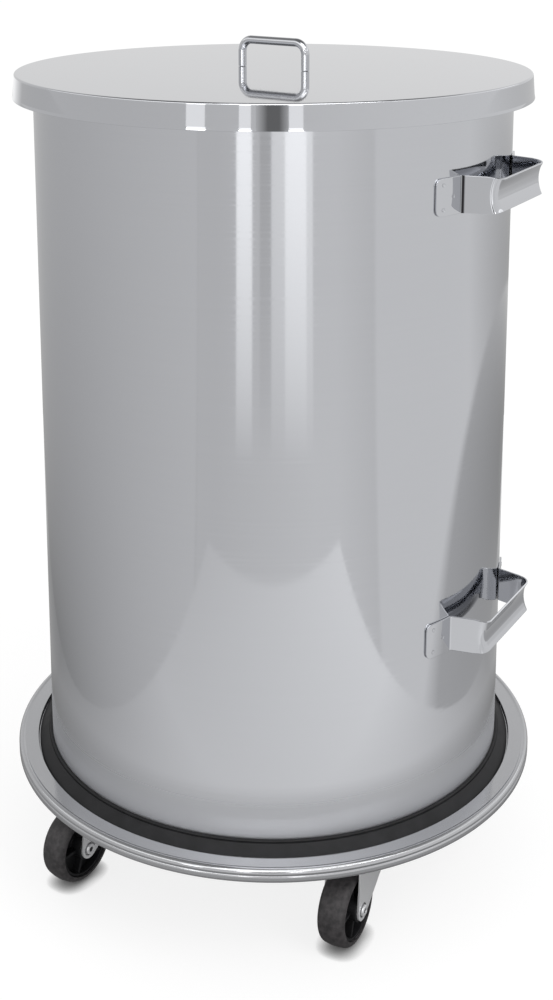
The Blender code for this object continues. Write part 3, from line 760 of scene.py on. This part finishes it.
def rubber_sockets(dark, dusty, rough, grain, depth, sheen=0.2, patches=70):
    """Moulded black rubber or plastic with a grain and dusty patches, so many of them to the metre."""
    def sockets(where):
        dust = ramp(noise(where, patches, detail=5), 0.38, 0.66)
        spots = noise(where, grain, detail=3)
        return {
            "Base Color": between(DUST_SHARE * dust + (1 - DUST_SHARE) * spots, dark, dusty),
            "Roughness": rough + DUST_ROUGH * dust + GRAIN_ROUGH * spots,
            "Specular IOR Level": sheen,
            "Normal": bump(spots, depth),
        }
    return sockets


ring_rubber = finish("ring_rubber", rubber_sockets(
    dark=(0.012, 0.012, 0.013), dusty=(0.024, 0.024, 0.026), rough=0.48, grain=1500, depth=0.00002))
tyre_rubber = finish("tyre_rubber", rubber_sockets(
    dark=(0.017, 0.016, 0.017), dusty=(0.080, 0.073, 0.076), rough=0.52, grain=900, depth=0.00008,
    sheen=0.45, patches=220))
hub_plastic = finish("hub_plastic", rubber_sockets(
    dark=(0.009, 0.009, 0.010), dusty=(0.020, 0.020, 0.022), rough=0.42, grain=1200, depth=0.00003))

# %% [markdown]
# ## The base ring
# The drum's foot stands in a moulded ring with a thin lip, a groove below it and a broad sloping face. The
# section is drawn all the way round, so Spin closes it into a solid, and a bevel rounds the edges as a
# mould does.

# %% Base ring
RING_GAP = 0.0003
RING_LIP = 0.0024
RING_LIP_HEIGHT = 0.0014
RING_GROOVE = 0.0006
RING_FLOOR = 0.0020
RING_EDGE = 0.0014
RING_LEDGE = 0.0140
RING_DROP = 0.0018
RING_TRIM = 0.0041
ring_low, ring_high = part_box("base_ring")
ring_inside = drum_radius + RING_GAP
ring_outside = ring_high.x - RING_TRIM
ring_top = ring_high.z - RING_DROP
lip = ring_inside + RING_LIP
lip_low = ring_top - RING_LIP_HEIGHT
ring_section = [
    (drum_radius - RING_LEDGE, ring_low.z),
    (drum_radius - RING_LEDGE, ring_low.z + RING_FLOOR),
    (ring_inside, ring_low.z + RING_FLOOR),
    (ring_inside, ring_top),
    (lip - RING_GROOVE, ring_top),
    (lip, ring_top - RING_GROOVE),
    (lip, lip_low),
    (lip - RING_GROOVE, lip_low - RING_GROOVE),
    (lip + RING_GROOVE, lip_low - RING_GROOVE),
    (ring_outside, ring_low.z + RING_EDGE),
    (ring_outside, ring_low.z),
]
ring = turned(ring_section + ring_section[:1])
soften(ring, RAW_EDGE, segments=3, angle=math.radians(20))
complete(ring, "foot_ring", "bin", ["base_ring"], ring_rubber)

# %% [markdown]
# ## Duller metal
# The dolly's pan is satin steel, which mirrors softly. The casters are zinc plated, paler and rougher
# still, with painted shade in holes and corners. Both take the recipe of the polished steel with other
# numbers, where each could have had nodes of its own.

# %% Satin and zinc finishes
satin_steel = finish("satin_steel", steel_sockets(
    BRUSHED_ROUND, gloss=0.09, colour=(0.50, 0.505, 0.52), metallic=0.80, brushed=0.15))
ZINC = (0.84, 0.845, 0.86)
ZINC_GRAIN = (0.3, 0.3, 1)
# How far the Ambient Occlusion node looks for the painted shade in the zinc's holes and corners.
CORNER_SHADE_REACH = 0.004
zinc_plate = steel_sockets(ZINC_GRAIN, gloss=0.30, colour=ZINC, metallic=0.45)
# Painted shade darkens the zinc in its own holes and corners, such as the rivet's hole and seat.
zinc_steel = finish("zinc_steel", with_painted_shade(zinc_plate, ZINC, CORNER_SHADE_REACH, alone=True))

# %% [markdown]
# ## The dolly
# The dolly is a pressed pan: a floor, a low step round the base ring, a flat flange, and a beaded rim that
# is turned down and in. Below the bead runs a hollow and a second, smaller roll. They draw the bright lines
# round the bin, so they are true arcs that touch each other, where a bevel would be quicker. The pan is
# spun in twice as many steps as the drum, because the bead's bright line shows every step.

# %% Pan section
PAN_SHEET = 0.0015
SEAT_CLEARANCE = 0.0007
STEP_LEAN = 0.0006
PAN_STEP = 0.0035
CREASE = 0.0015
BEAD_RADIUS = 0.0034
BEAD_DROP = 0.0051
ROLL_DROP = 0.0034
SECOND_ROLL = 0.0020
HOLLOW = 0.0010
PAN_SKIRT = 0.0056
PAN_LIP_RADIUS = 0.0028


def hollow_between(first, first_radius, second, second_radius, radius):
    """The centre of an arc that touches two round edges from outside."""
    apart = (second - first).length
    ahead = (second - first) / apart
    along = ((first_radius + radius) ** 2 - (second_radius + radius) ** 2 + apart ** 2) / (2 * apart)
    across = math.sqrt((first_radius + radius) ** 2 - along ** 2)
    return first + along * ahead + across * Vector((-ahead.y, ahead.x))


def bearing(here, there):
    """The angle of the way from one point to another, in degrees."""
    return math.degrees(math.atan2(there.y - here.y, there.x - here.x))


pan_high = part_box("dolly_pan")[1]
pan_floor = ring_low.z - RING_GAP - PAN_SHEET / 2
seat = ring_outside + SEAT_CLEARANCE + PAN_SHEET / 2
flange = pan_floor + PAN_STEP
bead = BEAD_RADIUS - PAN_SHEET / 2
roll = SECOND_ROLL - PAN_SHEET / 2
bead_centre = Vector((pan_high.x - BEAD_RADIUS, pan_high.z - BEAD_DROP))
roll_centre = Vector((pan_high.x - SECOND_ROLL, bead_centre.y - ROLL_DROP))
hollow_centre = hollow_between(bead_centre, bead, roll_centre, roll, HOLLOW)
lip_centre = pan_high.x - PAN_LIP_RADIUS, bead_centre.y - PAN_SKIRT
crease_turn = math.degrees(math.asin((flange + CREASE - bead_centre.y) / (bead + CREASE)))
crease_centre = bead_centre.x - (bead + CREASE) * math.cos(math.radians(crease_turn)), flange + CREASE
pan_line = (
    [(0, pan_floor), (seat, pan_floor), (seat + STEP_LEAN, flange)]
    + arc(crease_centre, CREASE, -90, -crease_turn, 5)
    + arc(bead_centre, bead, 180 - crease_turn, bearing(bead_centre, hollow_centre), 16)[1:]
    + arc(hollow_centre, HOLLOW, bearing(hollow_centre, bead_centre),
          360 + bearing(hollow_centre, roll_centre), 6)[1:]
    + arc(roll_centre, roll, bearing(roll_centre, hollow_centre), 0, 8)[1:]
    + arc(lip_centre, PAN_LIP_RADIUS - PAN_SHEET / 2, 0, -90, 8)
)
print("pan section has", len(pan_line), "points")

# %% Dolly pan
PIN_HOLE = 0.0053
CASTERS = ("front", "right", "back", "left")
pan = turned(pan_line, steps=2 * FULL_TURN)
thicken(pan, PAN_SHEET)
soften(pan, RAW_EDGE, angle=math.radians(25))
for name in CASTERS:
    stem = Vector(joints[f"caster_{name}_swivel"]["pos_m"])
    cut(pan, bpy.ops.mesh.primitive_cylinder_add, vertices=HOLE_SIDES, radius=PIN_HOLE, depth=10 * PAN_SHEET,
        location=(stem.x, stem.y, pan_floor))
complete(pan, "dolly_tray", "dolly", ["dolly_pan"], satin_steel)

# %% [markdown]
# ## The casters
# All four casters are alike and only trail in slightly different directions, so each piece is modelled
# once, on a swivel axis at the origin with the wheel trailing along +X, and then copied to its place. The
# joints of the frame say where: the swivel's position and the wheel's.

# %% Tyre
TRAIL = 0.0280
WHEEL_RADIUS = 0.0325
WHEEL_WIDTH = 0.0240
TYRE_DEPTH = 0.0065
TYRE_CORNER = 0.0052
TYRE_CROWN = 0.0007
CROWN_STEPS = 6
WHEEL_STEPS = 96
axle_z = joints["caster_front_wheel_spin"]["pos_m"][2]
tyre_radius = axle_z
tyre_bore = WHEEL_RADIUS - TYRE_DEPTH
half_width = WHEEL_WIDTH / 2
tread = half_width - TYRE_CORNER
shoulder = tyre_radius - TYRE_CROWN - TYRE_CORNER, tread
crown = [(tyre_radius - TYRE_CROWN * (k / CROWN_STEPS) ** 2, tread * k / CROWN_STEPS)
         for k in range(CROWN_STEPS)]
tyre_side = crown + arc(shoulder, TYRE_CORNER, 0, 90, 8) + [(tyre_bore, half_width)]
tyre_section = [(r, -z) for r, z in tyre_side[:0:-1]] + tyre_side
tyre = turned(tyre_section + tyre_section[:1], steps=WHEEL_STEPS)
soften(tyre, RAW_EDGE, angle=math.radians(50))
print("wheel radius in mm:", round(1000 * tyre_radius, 1))

# %% [markdown]
# The hub is moulded plastic: a rim, a thin web and a boss, with ribs between them. The turned part is one
# section again. The ribs are bevelled blocks joined to it, which is simpler than cutting pockets out of a
# solid disc.

# %% Hub
HUB_INSET = 0.0015
HUB_RIM = 0.0022
HUB_WEB = 0.0050
HUB_BORE = 0.0061
HUB_BOSS = 0.0101
BOSS_PROUD = 0.0017
HUB_FIT = 0.0003
hub_radius = tyre_bore - HUB_FIT
hub_half = half_width - HUB_INSET
boss_half = half_width + BOSS_PROUD
hub_side = [
    (hub_radius, hub_half), (hub_radius - HUB_RIM, hub_half), (hub_radius - HUB_RIM, HUB_WEB / 2),
    (HUB_BOSS, HUB_WEB / 2), (HUB_BOSS, boss_half), (HUB_BORE, boss_half),
]
hub_section = hub_side + [(r, -z) for r, z in hub_side[::-1]]
hub = turned(hub_section + hub_section[:1], steps=WHEEL_STEPS)
soften(hub, 2 * RAW_EDGE, segments=3)
print("hub radius in mm:", round(1000 * hub_radius, 1))

# %% Hub ribs
HUB_RIBS = 5
HUB_RIB = 0.0026
rib_start, rib_end = HUB_BOSS - HUB_FIT, hub_radius - HUB_RIM + HUB_FIT
ribs = []
for number in range(HUB_RIBS):
    rib = start(bpy.ops.mesh.primitive_cube_add, size=1, location=((rib_start + rib_end) / 2, 0, 0),
                scale=(rib_end - rib_start, HUB_RIB, 2 * hub_half - HUB_RIB))
    bpy.ops.mesh.bevel(offset=2 * RAW_EDGE, segments=2, affect="EDGES")
    bpy.ops.object.mode_set(mode="OBJECT")
    rib.matrix_world = Matrix.Rotation(math.tau * number / HUB_RIBS, 4, "Z") @ rib.matrix_world
    ribs.append(rib)
activate(hub)
for rib in ribs:
    rib.select_set(True)
bpy.ops.object.join()
print("hub with", len(ribs), "ribs has", len(hub.data.polygons), "faces")

# %% [markdown]
# The fork is pressed from one strip: a flat crown under the swivel head and two legs that taper to the
# axle. Bending a flat strip would be true to the press, but cutting it from a block is easier to follow:
# the side view is drawn and pulled across, the two long top edges are bevelled into bends, and the space
# for the wheel is cut out.

# %% Fork side view
FORK_SHEET = 0.0018
FORK_INSIDE = 0.0140
FORK_OUTSIDE = FORK_INSIDE + FORK_SHEET
EYE_RADIUS = 0.0086
FORK_REAR = 0.0220
REAR_DEPTH = 0.0165
FRONT_DEPTH = 0.0060
FRONT_SLOPE = 0.0060
FRONT_LEAN = 0.0040
crown_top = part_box("caster_front_fork")[1].z
eye = Vector((TRAIL, axle_z))
rear = Vector((-FORK_REAR, crown_top - REAR_DEPTH))
away = rear - eye
tangent = math.degrees(math.atan2(away.y, away.x) + math.acos(EYE_RADIUS / away.length))
front = TRAIL + EYE_RADIUS
fork_side = (
    [(-FORK_REAR, crown_top), tuple(rear)]
    + arc(eye, EYE_RADIUS, tangent, 360, 20)
    + [(front - FRONT_LEAN, crown_top - FRONT_DEPTH), (front - FRONT_LEAN - FRONT_SLOPE, crown_top)]
)
print("fork side view has", len(fork_side), "points")

# %% Fork block
FORK_BEND = 0.0040
fork = draw([(x, -FORK_OUTSIDE, z) for x, z in fork_side])
bpy.ops.mesh.edge_face_add()
bpy.ops.mesh.extrude_region_move(TRANSFORM_OT_translate={"value": (0, 2 * FORK_OUTSIDE, 0)})
close_up()
bpy.ops.object.transform_apply(location=True)
bpy.ops.object.mode_set(mode="EDIT")
pick(fork, "edges", lambda e: all(v.co.z > crown_top - SPECK for v in e.verts)
     and abs(e.verts[0].co.x - e.verts[1].co.x) > FORK_BEND)
bpy.ops.mesh.bevel(offset=FORK_BEND, segments=6, affect="EDGES")
bpy.ops.object.mode_set(mode="OBJECT")
print("fork block has", len(fork.data.polygons), "faces")

# %% Fork cuts
AXLE_HOLE = 0.0043
RIVET_SEAT = 0.0060
RIVET_SEAT_DEPTH = 0.0014
BORE_SIDES = 32
slot_height = crown_top - FORK_SHEET
cut(fork, bpy.ops.mesh.primitive_cube_add, size=1, location=(0, 0, 0),
    scale=(8 * FORK_REAR, 2 * FORK_INSIDE, 2 * slot_height))
cut(fork, bpy.ops.mesh.primitive_cylinder_add, vertices=BORE_SIDES, radius=PIN_HOLE, depth=4 * FORK_SHEET,
    location=(0, 0, crown_top))
cut(fork, bpy.ops.mesh.primitive_cylinder_add, vertices=BORE_SIDES, radius=AXLE_HOLE, depth=4 * FORK_OUTSIDE,
    location=(TRAIL, 0, axle_z), rotation=(math.pi / 2, 0, 0))
for side in (-1, 1):
    cut(fork, bpy.ops.mesh.primitive_cylinder_add, vertices=BORE_SIDES, radius=RIVET_SEAT,
        depth=2 * RIVET_SEAT_DEPTH, location=(TRAIL, side * FORK_OUTSIDE, axle_z),
        rotation=(math.pi / 2, 0, 0))
soften(fork, RAW_EDGE, angle=math.radians(50))
print("fork has", len(fork.data.polygons), "faces")

# %% [markdown]
# The axle is a hollow rivet whose ends are rolled over the legs, and the swivel head is a turned race with
# a groove. Both are short sections spun round their axes.

# %% Rivet
RIVET_RADIUS = 0.0040
RIVET_HEAD_RADIUS = 0.0046
RIVET_HEAD = 0.0018
RIVET_DIMPLE_RADIUS = 0.0020
RIVET_DIMPLE = 0.0100
HEAD_ROLL = 0.0012
HOLE_ROLL = 0.0008
RIVET_STEPS = 48
seat_y = FORK_OUTSIDE + RING_GAP
rivet_end = seat_y + RIVET_HEAD
head_roll = arc((RIVET_HEAD_RADIUS - HEAD_ROLL, rivet_end - HEAD_ROLL), HEAD_ROLL, 0, 90, 5)
hole_roll = arc((RIVET_DIMPLE_RADIUS + HOLE_ROLL, rivet_end - HOLE_ROLL), HOLE_ROLL, 90, 180, 4)
rivet_side = (
    [(RIVET_RADIUS, seat_y), (RIVET_HEAD_RADIUS, seat_y)] + head_roll + hole_roll
    + [(RIVET_DIMPLE_RADIUS, rivet_end - RIVET_DIMPLE), (0, rivet_end - RIVET_DIMPLE)]
)
rivet = turned([(r, -z) for r, z in rivet_side[::-1]] + rivet_side, steps=RIVET_STEPS)
print("rivet length in mm:", round(2000 * rivet_end, 1))

# %% Swivel head
HEAD_CHAMFER = 0.0030
HEAD_RACE = 0.0080
HEAD_TOP_RADIUS = 0.0215
HEAD_STEPS = 64
head_low, head_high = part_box("caster_front_swivel_head")
head_radius = (head_high.x - head_low.x) / 2
race_top = head_low.z + HEAD_CHAMFER + HEAD_RACE
head_section = [
    (PIN_HOLE, head_low.z),
    (head_radius - HEAD_CHAMFER, head_low.z),
    (head_radius, head_low.z + HEAD_CHAMFER),
    (head_radius, race_top - HEAD_CHAMFER),
    (HEAD_TOP_RADIUS, race_top),
    (HEAD_TOP_RADIUS, head_high.z),
    (PIN_HOLE, head_high.z),
]
head = turned(head_section + head_section[:1], steps=HEAD_STEPS)
soften(head, 3 * RAW_EDGE, segments=3, angle=math.radians(20))
print("swivel head radius in mm:", round(1000 * head_radius, 1))

# %% [markdown]
# Each caster is then put together in its place. The heading comes from the two joints, from the swivel's
# axis to the wheel's, so nothing is measured twice.

# %% Casters in place
WHEEL_ACROSS = Matrix.Rotation(math.pi / 2, 4, "X")
on_axle = {
    "wheel_tyre": (tyre, "wheel", "tyre_rubber", tyre_rubber),
    "wheel_hub": (hub, "wheel", "hub_plastic", hub_plastic),
    "axle_rivet": (rivet, "fork", "zinc_plate", zinc_steel),
}
for name in CASTERS:
    stem = Vector(joints[f"caster_{name}_swivel"]["pos_m"])
    axle = Vector(joints[f"caster_{name}_wheel_spin"]["pos_m"])
    heading = math.atan2(axle.y - stem.y, axle.x - stem.x)
    swivel = Matrix.Translation((stem.x, stem.y, 0)) @ Matrix.Rotation(heading, 4, "Z")
    for part, (model, body, slot, surface) in on_axle.items():
        place = swivel @ Matrix.Translation((TRAIL, 0, axle_z)) @ WHEEL_ACROSS
        complete(copy_to(model, place), f"{name}_{part}", f"caster_{name}_{body}", [f"caster_{name}_{part}"],
                 surface)
    complete(copy_to(fork, swivel), f"{name}_fork", f"caster_{name}_fork", [f"caster_{name}_fork"],
             zinc_steel)
    complete(copy_to(head, Matrix.Translation((stem.x, stem.y, 0))), f"{name}_swivel_head", "dolly",
             [f"caster_{name}_swivel_head"], zinc_steel)
for model in (tyre, hub, rivet, fork, head):
    bpy.data.objects.remove(model)

# %% [markdown]
# ## CAD pieces that stay
# Kingpins, nuts, sleeves, screws and washers are right as the CAD has them. They keep their shape and get
# the zinc finish in place of their flat grey.

# %% Finish the CAD pieces
kept = [node for node in frame["nodes"].values() if not node.hide_render]
for node in kept:
    node.data.materials.clear()
    node.data.materials.append(zinc_steel)
print(len(kept), "CAD nodes are shown as they are")

# %% [markdown]
# ## The studio
# Polished steel looks like what stands round it, so the floor has two faces. The camera sees a white ground
# that keeps the bin's shadow. The steel sees a white table, whose edges the drum mirrors as two lobes, in a
# grey room. A painted floor would give the same image, but a sum of angles and distances round the bin
# stays sharp from near and far.

# %% Places on the floor
SOFT_EDGE = 0.3


def bare(name):
    """A material without a shader, and the wire of its Object coordinates."""
    made = bpy.data.materials.new(name)
    made.use_nodes = True
    made.node_tree.nodes.remove(made.node_tree.nodes["Principled BSDF"])
    return made, Wire(made.node_tree.nodes.new("ShaderNodeTexCoord").outputs["Object"])


def strip(value, first, last, soft=SOFT_EDGE):
    """1 between two values, with soft edges."""
    return ramp(value, first - soft, first + soft) * ramp(value, last + soft, last - soft)


def fade(value, span, levels):
    """A number that goes from one level to another while a value crosses a span."""
    return blend(ramp(value, *span), *levels)


def distance(where, point):
    """How far a place is from a point."""
    return where.node("VectorMath", {"operation": "DISTANCE"}, {0: where, 1: point}, out="Value")


def turn_of(x, y):
    """How many degrees a place lies to the right of the front, as the bin sees it."""
    return x.math("ARCTAN2", x, 0 - y) * math.degrees(1)


paint, where = bare("studio_floor")
x, y = axes(where, "XY")
reach = distance(where, (0, 0, 0))
turn = turn_of(x, y)
backwards = y / reach
print("floor is measured out with", len(paint.node_tree.nodes), "nodes")

# %% [markdown]
# The right of the room is light. Behind the bin a round shade lies on it, whose edge the drum's right side
# shows as a long curve, and the back is darker. A thin seam closes it off towards the front.

# %% Right of the room
SHADE_PLACE = (0.42, 0.90, 0)
SHADE_INSIDE, SHADE_LEVELS = (0.3, 1.05), (0.34, 0.58)
SHADE_EDGE = 1.05, 1.13
BACK_START = 0.2, 0.95
BACK_REACH, BACK_SHADE = (2.4, 5.0), (0.50, 0.28)
RIGHT_LEVEL = 0.90
RIGHT_SEAM, RIGHT_SEAM_SHADE = (45.4, 46.2), 0.05
shade = distance(where, SHADE_PLACE)
shaded = fade(shade, SHADE_INSIDE, SHADE_LEVELS)
behind = ramp(backwards, *BACK_START) * fade(reach, BACK_REACH, BACK_SHADE)
right = fade(shade, SHADE_EDGE, (shaded, RIGHT_LEVEL - behind))
right = right - RIGHT_SEAM_SHADE * strip(turn, *RIGHT_SEAM)
print("right of the room is worked out")

# %% [markdown]
# The left of the room is grey, darker near the bin and towards the back. Only far behind is it bright,
# where the end of the lid's skirt shows it.

# %% Left of the room
LEFT_LEVEL, LEFT_NEAR = 0.77, 0.05
LEFT_BACK, LEFT_BACK_NEAR = 0.09, 0.14
LEFT_EVEN = -0.6
LEFT_SEAM, LEFT_SEAM_SHADE = (-33.9, -33.0), 0.06
FAR_LEVEL = 0.5
FAR_REACH, FAR_BACK = (5.0, 6.0), (0.75, 0.9)
left = LEFT_LEVEL - LEFT_NEAR / reach - (backwards - LEFT_EVEN) * (LEFT_BACK + LEFT_BACK_NEAR / reach)
left = left - LEFT_SEAM_SHADE * strip(turn, *LEFT_SEAM)
left = left + FAR_LEVEL * ramp(reach, *FAR_REACH) * ramp(backwards, *FAR_BACK)
print("left of the room is worked out")

# %% [markdown]
# The front grows lighter to the right. Far out it carries strips of light and dark, each with its angles
# and its gain, which the upper drum draws out into tall bands.

# %% Front of the room
FRONT_STRIPS = (
    (-16.3, -9.3, 0.90),
    (-6.0, -1.0, -0.20),
    (-1.0, 5.0, 0.33),
    (5.0, 14.4, 0.80),
    (14.4, 17.2, 0.42),
)
STRIP_GAIN = 1.25
STRIP_START = 1.3
FRONT_TURNS, FRONT_LEVELS = (-25, 18), (0.75, 0.89)
FRONT_END, FRONT_END_SHADE = (28, 45), 0.08
LEFT_CORNER, RIGHT_CORNER = (-33.5, -32.5), (45, 46)
front = fade(turn, FRONT_TURNS, FRONT_LEVELS) - FRONT_END_SHADE * ramp(turn, *FRONT_END)
room = fade(turn, RIGHT_CORNER, (fade(turn, LEFT_CORNER, (left, front)), right))
strips = sum(gain * strip(turn, first, last) for first, last, gain in FRONT_STRIPS)
room = room + STRIP_GAIN * strips * ramp(STRIP_START / reach, 1, 0)
print("front of the room has", len(FRONT_STRIPS), "strips")

# %% [markdown]
# The table is white and a little brighter on the right. It is darker behind the bin, and close round it,
# where the dolly keeps the light away.

# %% Table
TABLE_HALF = 0.47
TABLE_FRONT = -0.88
TABLE_BACK = 1.1
TABLE_LEVEL, TABLE_SLOPE = 0.95, 0.3
DARK_MIDDLE, DARK_SPAN, DARK_LEVEL = 0.35, (0.15, 0.77), 0.42
DOLLY_EDGE = 0.32, 0.43
DOLLY_LEVEL, DOLLY_SLOPE, DOLLY_MIDDLE = 0.25, 0.7, 0.1
behind_bin = fade(size_of(y - DARK_MIDDLE), DARK_SPAN, (DARK_LEVEL, 1.0))
at_dolly = DOLLY_LEVEL + DOLLY_SLOPE * size_of(x - DOLLY_MIDDLE)
table = (TABLE_LEVEL + TABLE_SLOPE * x) * behind_bin * fade(reach, DOLLY_EDGE, (at_dolly, 1.0))
on_table = (TABLE_HALF - size_of(x) > 0) * (y > TABLE_FRONT) * (TABLE_BACK - y > 0)
mirrored = where.node("Emission", inputs={"Strength": blend(on_table, room, table)})
print("mirrored floor is worked out with", len(paint.node_tree.nodes), "nodes")

# %% [markdown]
# The ground that the camera sees is part glow and part paint. The glow keeps it white, the paint takes the
# lamp's shadow, and an Ambient Occlusion node paints a contact shadow into the glow where the tyres stand.
# Light alone could make it white too, but would be too much for the bin.

# %% Floor as the camera sees it
FLOOR_SIZE = 30
CONTACT = 0.011
CONTACT_GLOW, GROUND_GLOW = 0.04, 0.82
GROUND_PAINT = (0.24, 0.24, 0.24, 1)
contact = where.node("AmbientOcclusion", inputs={"Distance": CONTACT}, out="AO")
seen = where.node("AddShader", inputs={
    0: where.node("BsdfDiffuse", inputs={"Color": GROUND_PAINT}),
    1: where.node("Emission", inputs={"Strength": blend(contact * contact, CONTACT_GLOW, GROUND_GLOW)}),
})
camera_ray = where.node("LightPath", out="Is Camera Ray")
mixed = where.node("MixShader", inputs={0: camera_ray, 1: mirrored, 2: seen})
paint.node_tree.links.new(mixed.socket, paint.node_tree.nodes["Material Output"].inputs["Surface"])
floor = start(bpy.ops.mesh.primitive_plane_add, size=FLOOR_SIZE, location=(0, 0, 0))
bpy.ops.object.mode_set(mode="OBJECT")
floor.name = "studio_floor"
floor.data.materials.append(paint)
print("floor is", FLOOR_SIZE, "m wide")

# %% [markdown]
# The room is one even light for everything that is dull. Mirrored rays see it darker overhead, as a high
# studio is, which draws the dark lines along the rod, the lid's corner and the handles. The camera sees
# plain white.

# %% Room
ROOM_LEVEL = 0.82
ROOM_SLOPE = 0.10
ROOM_TOP = 0.22
TOP_SPAN = 0.45, 0.85
world = bpy.data.worlds.new("studio_room")
bpy.context.scene.world = world
world.use_nodes = True
tree = world.node_tree
way = Wire(tree.nodes.new("ShaderNodeTexCoord").outputs["Generated"])
rightwards, upwards = axes(way, "XZ")
mirrored = fade(upwards, TOP_SPAN, (ROOM_LEVEL + ROOM_SLOPE * rightwards, ROOM_TOP))
camera_ray = way.node("LightPath", out="Is Camera Ray")
glossy_ray = way.node("LightPath", out="Is Glossy Ray")
level = blend(camera_ray, blend(glossy_ray, ROOM_LEVEL, mirrored), 1.0)
room = way.node("Background", inputs={"Color": (1, 1, 1, 1), "Strength": level})
tree.links.new(room.socket, tree.nodes["World Output"].inputs["Surface"])
print("room is set with", len(tree.nodes), "nodes")

# %% [markdown]
# ## Light and cards
# One soft lamp from the right front gives the shadows a side. More lamps could draw the highlights, but
# steel shows them as plain squares, so the rest is done with cards.

# %% Lamp
LAMP_POWER = 22
LAMP_SIZE = 1.6
LAMP_PLACE = (1.7, -1.5, 2.4)
LAMP_AIM = Vector((0, 0, 0.3))
bpy.ops.object.select_all(action="DESELECT")
bpy.ops.object.light_add(type="AREA", location=LAMP_PLACE)
lamp = bpy.context.active_object
lamp.data.energy = LAMP_POWER
lamp.data.size = LAMP_SIZE
lamp.rotation_euler = (LAMP_AIM - lamp.location).to_track_quat("-Z", "Y").to_euler()
lamp.visible_glossy = False
print("lamp of", LAMP_POWER, "W")

# %% [markdown]
# A card is a flat face that only mirrored rays see, as in any studio for metal. The lid's skirt and hem
# show three upright strips with a dark one between them. A belt of lamps across the strips draws the white
# lines on the rod.


# %% Strips in front
def card(name, strength, corners):
    """A flat card seen only by mirrored rays. Its strength may be a function of its Object coordinates."""
    piece = draw(corners)
    bpy.ops.mesh.edge_face_add()
    bpy.ops.object.mode_set(mode="OBJECT")
    bpy.ops.object.transform_apply(location=True)
    piece.name = name
    glow, where = bare(name)
    light = where.node("Emission", inputs={"Strength": strength(where) if callable(strength) else strength})
    glow.node_tree.links.new(light.socket, glow.node_tree.nodes["Material Output"].inputs["Surface"])
    piece.data.materials.append(glow)
    piece.visible_camera = piece.visible_diffuse = piece.visible_shadow = piece.visible_transmission = False
    print("card:", name)


def towards(turn, reach, level):
    """A point of the room, so many degrees to the right of the front."""
    return Vector((math.sin(math.radians(turn)) * reach, -math.cos(math.radians(turn)) * reach, level))


def standing(first, last, reach, low, high):
    """Corners of an upright card between two angles."""
    corners = (first, low), (last, low), (last, high), (first, high)
    return [towards(turn, reach, level) for turn, level in corners]


FRONT_REACH = 4.4
STRIP_TURNS = {"far_left": (-35.5, -27.6), "left": (-13.8, -9.0), "right": (6.2, 11.9)}
STRIP_LOW, STRIP_HIGH = 0.4, 2.4
STRIP_LIGHT = 1.3, 1.9
STRIP_RISE = 1.1, 1.6
BELT = 5
BELT_LEVELS = 1.08, 1.42
BELT_EDGE = 0.02


def lit_from_above(where):
    """A strip that grows brighter upwards, with a belt of lamps across it."""
    up, = axes(where, "Z")
    return fade(up, STRIP_RISE, STRIP_LIGHT) + BELT * strip(up, *BELT_LEVELS, soft=BELT_EDGE)


for name, turns in STRIP_TURNS.items():
    card(f"strip_{name}", lit_from_above, standing(*turns, FRONT_REACH, STRIP_LOW, STRIP_HIGH))

# %% Dark middle
MIDDLE_TURNS = -7.0, 5.9
MIDDLE_HIGH = 2.05
MIDDLE_EDGES = 0.18, 0.50
MIDDLE_LIGHT = 0.20, 0.65


def middle_shade(where):
    """Darkest in the middle, and lighter to both sides."""
    across, = axes(where, "X")
    return fade(size_of(across), MIDDLE_EDGES, MIDDLE_LIGHT)


card("dark_middle", middle_shade, standing(*MIDDLE_TURNS, FRONT_REACH, STRIP_LOW, MIDDLE_HIGH))

# %% [markdown]
# Above the strips hangs a long soft box, bent round the front in eight cards. Its cloth lights the upper
# side of the rim, and a tube along its upper edge draws the white line on the bead. A light overhead does
# the same for the rod.

# %% Soft box and overhead light
BOX_CARDS = 8
BOX_START, BOX_TURN = -116, 32
BOX_REACH = FRONT_REACH + 0.3
BOX_LOW, BOX_HIGH = 2.1, 4.8
CLOTH_LEVELS, CLOTH_LIGHT = (2.2, 3.2), (2.6, 1.6)
CLOTH_MIDDLE, CLOTH_ENDS, CLOTH_FADE = -6, (30, 80), (1.0, 0.6)
GAP_MIDDLE, GAP_ENDS, GAP_FADE = 35, (8, 26), (0.5, 1.0)
TUBE = 7
TUBE_LEVEL = 4.25
TUBE_MIDDLE, TUBE_ENDS = 16, (54, 36)
OVERHEAD_TURNS = -28, 58
OVERHEAD_NEAR, OVERHEAD_FAR, OVERHEAD_LEVEL = 0.9, 2.4, 2.4
OVERHEAD_LIGHT = 2.2


def soft_box(where):
    """Brighter at its lower edge and in the middle, with a tube of light along the upper edge."""
    x, y, up = axes(where, "XYZ")
    turn = turn_of(x, y)
    cloth = fade(up, CLOTH_LEVELS, CLOTH_LIGHT)
    cloth = cloth * fade(size_of(turn - CLOTH_MIDDLE), CLOTH_ENDS, CLOTH_FADE)
    cloth = cloth * fade(size_of(turn - GAP_MIDDLE), GAP_ENDS, GAP_FADE)
    return cloth + TUBE * (up > TUBE_LEVEL) * ramp(size_of(turn - TUBE_MIDDLE), *TUBE_ENDS)


for number in range(BOX_CARDS):
    first = BOX_START + BOX_TURN * number
    card(f"soft_box_{number}", soft_box, standing(first, first + BOX_TURN, BOX_REACH, BOX_LOW, BOX_HIGH))
first, last = OVERHEAD_TURNS
overhead = ((first, OVERHEAD_NEAR), (last, OVERHEAD_NEAR), (last, OVERHEAD_FAR), (first, OVERHEAD_FAR))
card("light_overhead", OVERHEAD_LIGHT, [towards(turn, reach, OVERHEAD_LEVEL) for turn, reach in overhead])
